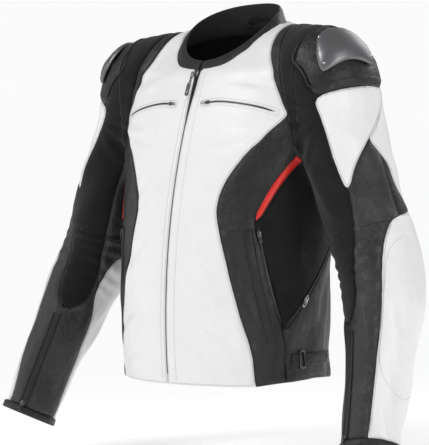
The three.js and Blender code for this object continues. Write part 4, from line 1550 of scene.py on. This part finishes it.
def build_pocket(side, sign):
    p, n = skin_line(front_line(WELT), sign, 3.0, 4)
    solid(f"pocket_welt_leather_{side}", *sweep(p, n, band_profile(14.5, 0.2, 2.3, 0.8, 7)), "black", "jacket",
          "black_leather", f"pocket_welt_{side}")
    inset = 5.4
    rows = both_sides(p, n, inset, 2.75)
    for i in (1, -2):
        line = np.array([offset_line(p, n, a, 3.1)[i] for a in np.linspace(-inset, inset, 6)])
        rows.append((line, np.tile(n[i], (len(line), 1))))
    stitched(f"pocket_welt_stitching_{side}", rows, "thread_black", "jacket", "black_leather")
    q, m = skin_line(front_line(POCKET_ZIP, 60), sign)
    teeth(f"pocket_teeth_{side}", q, m, "jacket", f"pocket_zip_{side}", width=3.4, height=1.0, lift=0.3)
    i = min(max(nearest_index(q, f"pocket_slider_{side}"), 1), len(q) - 2)
    slider(f"pocket_slider_body_{side}", q[i], m[i], q[i - 1] - q[i + 1], f"pocket_slider_{side}",
           f"pocket_slider_{side}", 0.8, lift=1.5)


def build_side_zip(side, sign):
    p, n = (rows[2:-2] for rows in skin_line(side_line(SIDE_ZIP[:6]), sign))
    teeth(f"side_zip_teeth_{side}", p, n, "jacket", f"side_zip_{side}", lift=0.2)
    strips(f"side_zip_lips_{side}", both_sides(p, n, 3.6), round_profile(1.3, 0.7, 8), "black", "jacket")
    i = nearest_index(p, f"side_slider_{side}")
    slider(f"side_slider_body_{side}", p[i], n[i], p[i + 1] - p[i - 1], f"side_slider_{side}",
           f"side_slider_{side}", 0.95, lift=1.0, look="bright")


STRAP = {"front": -30.0, "back": 48.0, "z": -540.0, "height": 19.0}


def build_waist_strap(side, sign):
    body, height = f"waist_strap_{side}", STRAP["height"]
    y = np.linspace(STRAP["front"] + 3, STRAP["back"], 30)
    p, n = skin_line(torso_side(y, np.full(30, STRAP["z"])), sign, 3.0, 5)
    solid(f"strap_leather_{side}", *sweep(p, n, band_profile(height - 1, 2.2, 4.6, 0.5, 7)), "grey", body,
          "black_leather", f"waist_strap_{side}")
    rows = [(q[1:-1], m[1:-1]) for q, m in both_sides(p, n, height / 2 - 3, 4.95)]
    stitched(f"strap_stitching_{side}", rows, "thread_black", body, "black_leather")
    b = Builder()
    snap = len(p) * 3 // 4
    dome(b, frame_at(p[snap] + n[snap] * 5.0, n[snap], p[snap + 1] - p[snap - 1]), 5.8, 1.9, lip=True)
    finish_piece(b.object(f"strap_snap_{side}", "gunmetal"), body)
    y = np.linspace(-57, STRAP["front"] - 2, 12)
    q, m = skin_line(torso_side(y, np.full(12, STRAP["z"])), sign, 3.0, 3)
    solid(f"strap_tab_{side}", *sweep(q, m, band_profile(height + 1, 0.4, 2.6, 0.4, 7)), "grey", "jacket",
          "black_leather")
    stitched(f"strap_tab_stitching_{side}", both_sides(q, m, height / 2 - 2.4, 3.0), "thread_black", "jacket",
             "black_leather")
    c, m = drape([cad_centre(f"waist_ring_{side}")])
    f = frame_at(c[0] + m[0] * 3.4, m[0], (0, 0, 1))
    pts = np.array([f[0] + f[1] * x + f[2] * y for x, y in rounded(11.5, height + 6.5, 3.0, 6)])
    ring = sweep(pts, np.tile(f[3], (len(pts), 1)), round_profile(1.6, 0, 8), closed=True)
    solid(f"strap_ring_{side}", *ring, "gunmetal", "jacket", "bright_metal", f"waist_ring_{side}")


# ------------------------------------------------------------------ collar
def collar_point(angle, v, w):
    """A point of the collar: v rises from the neck seam to the rim, w goes from the inside to the outside."""
    sine, cosine = math.sin(math.radians(angle)), math.cos(math.radians(angle))
    z = neck_seam_z(sine) - 2 + v * collar_height(sine)
    across = NECK["across"] + (COLLAR["across"] - NECK["across"]) * v - (1 - w) * COLLAR["thickness"]
    fore = NECK["fore"] + (COLLAR["fore"] - NECK["fore"]) * v - (1 - w) * COLLAR["thickness"]
    centre = NECK["y"] + (COLLAR["y"] - NECK["y"]) * v
    return np.array([across * cosine, centre + fore * sine, z])


# The collar's section as (v, w): up the outside, over the rolled edge, then down the inside.
COLLAR_OUTSIDE = [(0.0, 1.25), (0.12, 1.32), (0.35, 1.36), (0.6, 1.34), (0.82, 1.26), (0.95, 1.12), (1.02, 0.86),
                  (1.03, 0.6)]
COLLAR_INSIDE = [(1.0, 0.32), (0.94, 0.12), (0.8, 0.0), (0.5, -0.04), (0.2, -0.05), (-0.3, -0.05), (-0.32, 0.2),
                 (-0.1, 0.7)]


def build_collar():
    gap = math.degrees(COLLAR["gap"] / NECK["across"])
    angles = np.linspace(-90 + gap, 270 - gap, 150)
    section = COLLAR_OUTSIDE + COLLAR_INSIDE
    rings = np.array([[collar_point(a, v, w) for v, w in section] for a in angles])
    k = len(section)
    wobble = noise(rings.reshape(-1, 3), 40).reshape(rings.shape[:2])
    middle = rings.mean(1, keepdims=True)
    out = (rings - middle) / (np.linalg.norm(rings - middle, axis=2)[:, :, None] + 1e-9)
    rings = rings + out * (0.5 * wobble)[:, :, None]
    for end in (0, -1):
        rings[end] = middle[end] + (rings[end] - middle[end]) * 0.9
    faces = grid_faces(len(angles), k, wrap=True)
    faces += [tuple(reversed(range(k))), tuple(range((len(angles) - 1) * k, len(angles) * k))]
    first_inside = len(COLLAR_OUTSIDE)
    looks = [int(first_inside <= i % k <= first_inside + 5) for i in range((len(angles) - 1) * k)] + [0, 0]
    obj = make("collar_leather", rings.reshape(-1, 3), faces, leather_and_lining(), indices=looks)
    set_edge(obj, np.ones(len(obj.data.vertices)))
    finish_piece(obj, "jacket", "collar")
    rows = []
    for v, w in ((0.86, 1.26), (0.2, 1.37)):
        p = np.array([collar_point(a, v, w) for a in angles[2:-2]])
        n = np.stack([p[:, 0] / NECK["across"] ** 2, p[:, 1] / NECK["fore"] ** 2, np.full(len(p), 0.001)], 1)
        rows.append((p, unit(n)))
    for end in (3, -4):
        p = np.array([collar_point(angles[end], v, 1.36) for v in np.linspace(0.16, 0.9, 8)])
        rows.append((p, np.tile(rows[0][1][end], (len(p), 1))))
    stitched("collar_stitching", rows, "thread_black", "jacket", "black_leather", lift=0.2)


# ------------------------------------------------------------------ sleeves' hard parts and cuffs
def build_cup(side, sign):
    """The hard shoulder cup: a crowned plate with a turned-down rim."""
    rows, columns = 25, 19
    u, v = np.meshgrid(np.linspace(-1, 1, rows), np.linspace(-1, 1, columns), indexing="ij")
    x, y = u * np.sqrt(1 - 0.36 * v**2), v * np.sqrt(1 - 0.36 * u**2)
    angle = 21 + 44 * x * (1 - 0.21 * (1 - y)) + 3 * y
    station = 1.975 + np.where(y > 0, 0.305, 0.265) * y - 0.14 * (1 - x * x) ** 1.5 * np.maximum(y, 0) ** 2
    crown = (1 - np.abs(u) ** 3) * (1 - np.abs(v) ** 3)
    ridge = 1.4 * np.exp(-(((y - 0.15) / 0.22) ** 2)) * (1 - np.abs(x) ** 2.5)
    top = on_sleeve(angle, station, 5.2 + 5.6 * crown**0.55 + ridge + 1.2 * (1 - y))
    under = on_sleeve(angle, station, 3.4 + 1.2 * (1 - y))
    pts = np.concatenate([top.reshape(-1, 3), under.reshape(-1, 3)])
    size = rows * columns
    faces = grid_faces(rows, columns)
    faces += [tuple(size + i for i in reversed(f)) for f in grid_faces(rows, columns)]
    rim = ([i * columns for i in range(rows)] + [(rows - 1) * columns + j for j in range(1, columns)]
           + [i * columns + columns - 1 for i in range(rows - 2, -1, -1)] + list(range(columns - 2, 0, -1)))
    faces += [(rim[i], rim[(i + 1) % len(rim)], size + rim[(i + 1) % len(rim)], size + rim[i])
              for i in range(len(rim))]
    pts, faces = flipped(pts, faces, sign)
    solid(f"cup_shell_{side}", pts, faces, "cup", f"upper_sleeve_{side}", "cup_plastic", f"shoulder_cup_{side}")
    b = Builder()
    for a, s, lift in ((53, 2.11, 8.9), (-8, 2.10, 8.9), (40, 1.80, 10.4), (4, 1.81, 10.4)):
        c = on_sleeve([a], [s], lift)[0] * (sign, 1, 1)
        axis = c - at_station(CENTRE, np.array([s]))[0] * (sign, 1, 1)
        dome(b, frame_at(c, axis, (0, 1, 0.3)), 2.1, 1.3)
    finish_piece(b.object(f"cup_rivets_{side}", "bright"), f"upper_sleeve_{side}")


def arm_line(outline, sign, closed=False):
    """A line on the sleeve's skin through (angle, station) points."""
    pts = spline(outline, 6, closed)
    if closed:
        pts = np.concatenate([pts, pts[:1]])
    return skin_line(on_sleeve(pts[:, 0], pts[:, 1]), sign, 3.0, 3)


def build_cap_piping(side, sign):
    p, n = arm_line([(a, min(s, 2.2 + (s - 2.2) * 0.55)) for a, s in CAP_EDGE], sign, closed=True)
    v, f = sweep(p[:-1], n[:-1], round_profile(1.8, 1.5, 10), closed=True)
    obj = make(f"cap_piping_{side}", v, f, [MATERIALS["black"]])
    row, m = arm_line([(68, 2.44), (39, 2.43), (0, 2.41), (-32, 2.40)], sign)
    rows = [(offset_line(row, m, d) + m * 0.5, m) for d in (-1.6, 1.6)]
    follow_shoulder([obj, stitched(f"cap_strip_stitching_{side}", rows, "thread_black", None, "black_leather")],
                    side, sign)


def build_forearm_pad(side, sign):
    line = [(10, 5.02), (35, 5.32), (49, 5.9), (57, 6.53), (50, 7.17), (22, 7.44), (-16, 7.45), (-50, 7.3)]
    p, n = arm_line(line, sign)
    obj = stitched(f"forearm_pad_stitching_{side}", [(p + n * 0.8, n)], "thread_white", None, "white_leather")
    follow_elbow([obj], side, sign)


def build_cuff(side, sign):
    """The cuff band, a ring closed round the sleeve's end, and the cuff zip that runs into it."""
    body = f"forearm_{side}"
    shape = [(8.47, 0.6), (8.49, 2.0), (8.55, 2.6), (8.7, 2.4), (8.85, 2.2), (8.94, 1.9), (8.985, 1.0),
             (8.99, -0.2), (8.96, -1.3), (8.85, -1.9), (8.65, -2.1), (8.45, -2.2), (8.43, -1.2), (8.44, 0.0)]
    around, k = 72, len(shape)
    s, lift = np.array(shape).T
    a, j = np.meshgrid(np.linspace(0, 360, around, endpoint=False), np.arange(k), indexing="ij")
    ripple = 0.5 * np.sin(np.radians(a) * 5) * (s[j] > 8.8)
    v = on_sleeve(a, s[j], lift[j] + ripple).reshape(-1, 3)
    v, faces = flipped(v, grid_faces(around, k, wrap=True, ring=True), sign)
    looks = (((j >= 7) & (j <= 11)) * 1).ravel()
    obj = make(f"cuff_leather_{side}", v, faces, leather_and_lining(), indices=looks)
    set_edge(obj, np.ones(len(obj.data.vertices)))
    finish_piece(obj, body, f"cuff_band_{side}")
    rows = []
    for station, up in ((8.57, 2.65), (8.92, 2.1)):
        p = on_sleeve(np.linspace(0, 360, 120), station, up) * (sign, 1, 1)
        rows.append((p, unit(p - at_station(CENTRE, np.array([station]))[0] * (sign, 1, 1))))
    stitched(f"cuff_stitching_{side}", rows, "thread_black", body, "black_leather")
    stations = np.linspace(CUFF_ZIP["closed"], CUFF_ZIP["open"], 5)
    p, n = arm_line([(CUFF_ZIP["angle"], station) for station in stations], sign)
    teeth(f"cuff_teeth_{side}", p, n, body, width=3.8, lift=0.7)
    strips(f"cuff_zip_lips_{side}", both_sides(p, n, 5.2), band_profile(5.6, 0.4, 1.9, 0.5, 5),
           "black", body)
    q, m = drape([cad_centre(f"cuff_slider_{side}")])
    along = at_station(ALONG, np.array([8.0]))[0] * (sign, 1, 1)
    slider(f"cuff_slider_body_{side}", q[0], m[0], -along, f"cuff_slider_{side}", f"cuff_slider_{side}", 0.85,
           lift=1.6)


# ------------------------------------------------------------------ lining and inner parts
def build_lining():
    """Mesh lining on the inside of the whole skin, drawn coarser than the leather."""
    skin = SKIN
    for field, short in ((neck_field, 1.0), (hem_field, 3.0), (cuff_field, 1.0)):
        skin = skin.cut(lambda p: field(p) - short)[0]
    arms, torso = skin.cut(arm_field)
    upper, lower = arms.cut(sleeve_split_field)

    def cloth(name, part):
        v = part.v - part.n * 3.4
        obj = make(name, v, part.t, [MATERIALS["lining"]])
        thin = obj.modifiers.new("fewer", "DECIMATE")
        thin.ratio = 0.3
        dg = bpy.context.evaluated_depsgraph_get()
        mesh = bpy.data.meshes.new_from_object(obj.evaluated_get(dg))
        obj.modifiers.clear()
        obj.data = mesh
        thicken(obj, 0.7)
        return obj

    body = cloth("lining_body", torso)
    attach(body, "jacket")
    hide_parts("body_lining")
    for (side, top), (_, low) in zip(split_sides(upper), split_sides(lower)):
        follow_shoulder([cloth(f"lining_sleeve_{side}", top)], side, SIGN[side])
        follow_elbow([cloth(f"lining_forearm_{side}", low)], side, SIGN[side])


def dress_inner_parts():
    """The inner parts keep their CAD shapes and get their materials."""
    looks = {"back_protector": "foam", "protector_pocket": "lining", "trouser_zip_strip": "tape",
             "hanger_loop": "tape", "zip_wind_flap": "tape"}
    for side, _ in sides():
        looks[f"shoulder_armour_{side}"] = "foam"
        looks[f"elbow_armour_{side}"] = "foam"
    for name, look in looks.items():
        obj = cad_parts[name]
        for slot in obj.material_slots:
            slot.link = "OBJECT"
            slot.material = MATERIALS[look]


STANDS_FOR = {
    "front_leather": "front_panel", "side_leather": "side_panel", "shoulder_yoke": "shoulder_stretch",
    "sleeve_top_leather": "upper_sleeve_outer", "sleeve_inner": "upper_sleeve_inner",
    "elbow_cloth": "elbow_stretch", "forearm_leather": "forearm_outer", "lower_sleeve_leather": "forearm_inner",
    "shoulder_cap": "shoulder_cap",
}


def replace_soft_nodes():
    """Hides the CAD nodes that the leather panels stand for, and the two back panels."""
    for label, cad in STANDS_FOR.items():
        for side, _ in sides():
            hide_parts(f"{cad}_{side}")
    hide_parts("back_upper_panel")
    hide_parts("back_lower_panel")


def build_panels():
    """Cuts the skin along its seams and makes each panel."""
    skin = SKIN
    for field in (neck_field, hem_field, cuff_field):
        skin = skin.cut(field)[0]
    arms, torso = skin.cut(arm_field)
    back, torso = torso.cut(back_field)
    front, torso = torso.cut(front_field)
    yoke, torso = torso.cut(shoulder_field)
    side_front, torso = torso.cut(side_front_field)
    side_rear, side_cloth = torso.cut(side_rear_field)
    upper, lower = back.cut(lumbar_field("top"))
    ribs, lower = lower.cut(lumbar_field("bottom"))
    made = {}

    def jacket_panel(name, part, look, **more):
        made[name] = finish_panel(name, part, look, **more)
        ride_all(made[name], "jacket")

    for side, sign in sides():
        part = front.cut(lambda p: sign * p[:, 0] - placket_edge(p[:, 2]))[0]
        jacket_panel(f"front_leather_{side}", part, "white")
    for label, piece, look, rows in (
        ("side_leather", side_front, "black", (STITCH_INSET,)),
        ("side_cloth", side_cloth, "stretch", ()),
        ("side_rear_leather", side_rear, "grey", (STITCH_INSET,)),
        ("shoulder_yoke", yoke, "stretch", ()),
    ):
        for side, part in split_sides(piece):
            jacket_panel(f"{label}_{side}", part, look, rows=rows)
    jacket_panel("back_upper_leather", upper, "white")
    jacket_panel("back_ribs", ribbed(ribs), "stretch", rows=())
    jacket_panel("back_lower_leather", lower, "black")
    cap, rest = arms.cut(arm_region(CAP_EDGE, 10))
    high, rest = rest.cut(arm_region(UPPER_WHITE, 20))
    rear, rest = rest.cut(arm_region(REAR_WHITE, -60))
    forearm, rest = rest.cut(arm_region(FOREARM_WHITE, -60))
    top, bottom = rest.cut(sleeve_split_field)
    low_cloth, bottom = bottom.cut(arm_region(STRETCH_LOW, 100))
    inner, top = top.cut(inner_field)
    wedge, cloth = top.cut(arm_region(WEDGE, 20, smooth=0))
    for label, piece, look, rows, follow in (
        ("shoulder_cap", cap, "black", (4.5, 9.0), follow_shoulder),
        ("sleeve_top_leather", high, "white", (STITCH_INSET,), follow_shoulder),
        ("sleeve_rear_leather", rear, "white", (STITCH_INSET,), follow_shoulder),
        ("sleeve_stretch", cloth, "stretch", (), follow_shoulder),
        ("sleeve_inner", inner, "black", (), follow_shoulder),
        ("sleeve_wedge", wedge, "grey", (STITCH_INSET,), follow_elbow),
        ("elbow_cloth", low_cloth, "stretch", (), follow_elbow),
        ("forearm_leather", forearm, "white", (STITCH_INSET,), follow_elbow),
        ("lower_sleeve_leather", bottom, "grey", (STITCH_INSET,), follow_elbow),
    ):
        puff = CAP_PUFF if label == "shoulder_cap" else PANEL_PUFF
        for side, part in split_sides(piece):
            name = f"{label}_{side}"
            made[name] = finish_panel(name, part, look, rows, puff)
            follow(made[name], side, SIGN[side])
    return made


PANELS = build_panels()
build_front_zip()
build_collar()
build_lining()
for side, sign in sides():
    for build in (build_chest_vent, build_stripe, build_pocket, build_side_zip, build_waist_strap, build_cup,
                  build_cap_piping, build_forearm_pad, build_cuff):
        build(side, sign)
dress_inner_parts()
replace_soft_nodes()
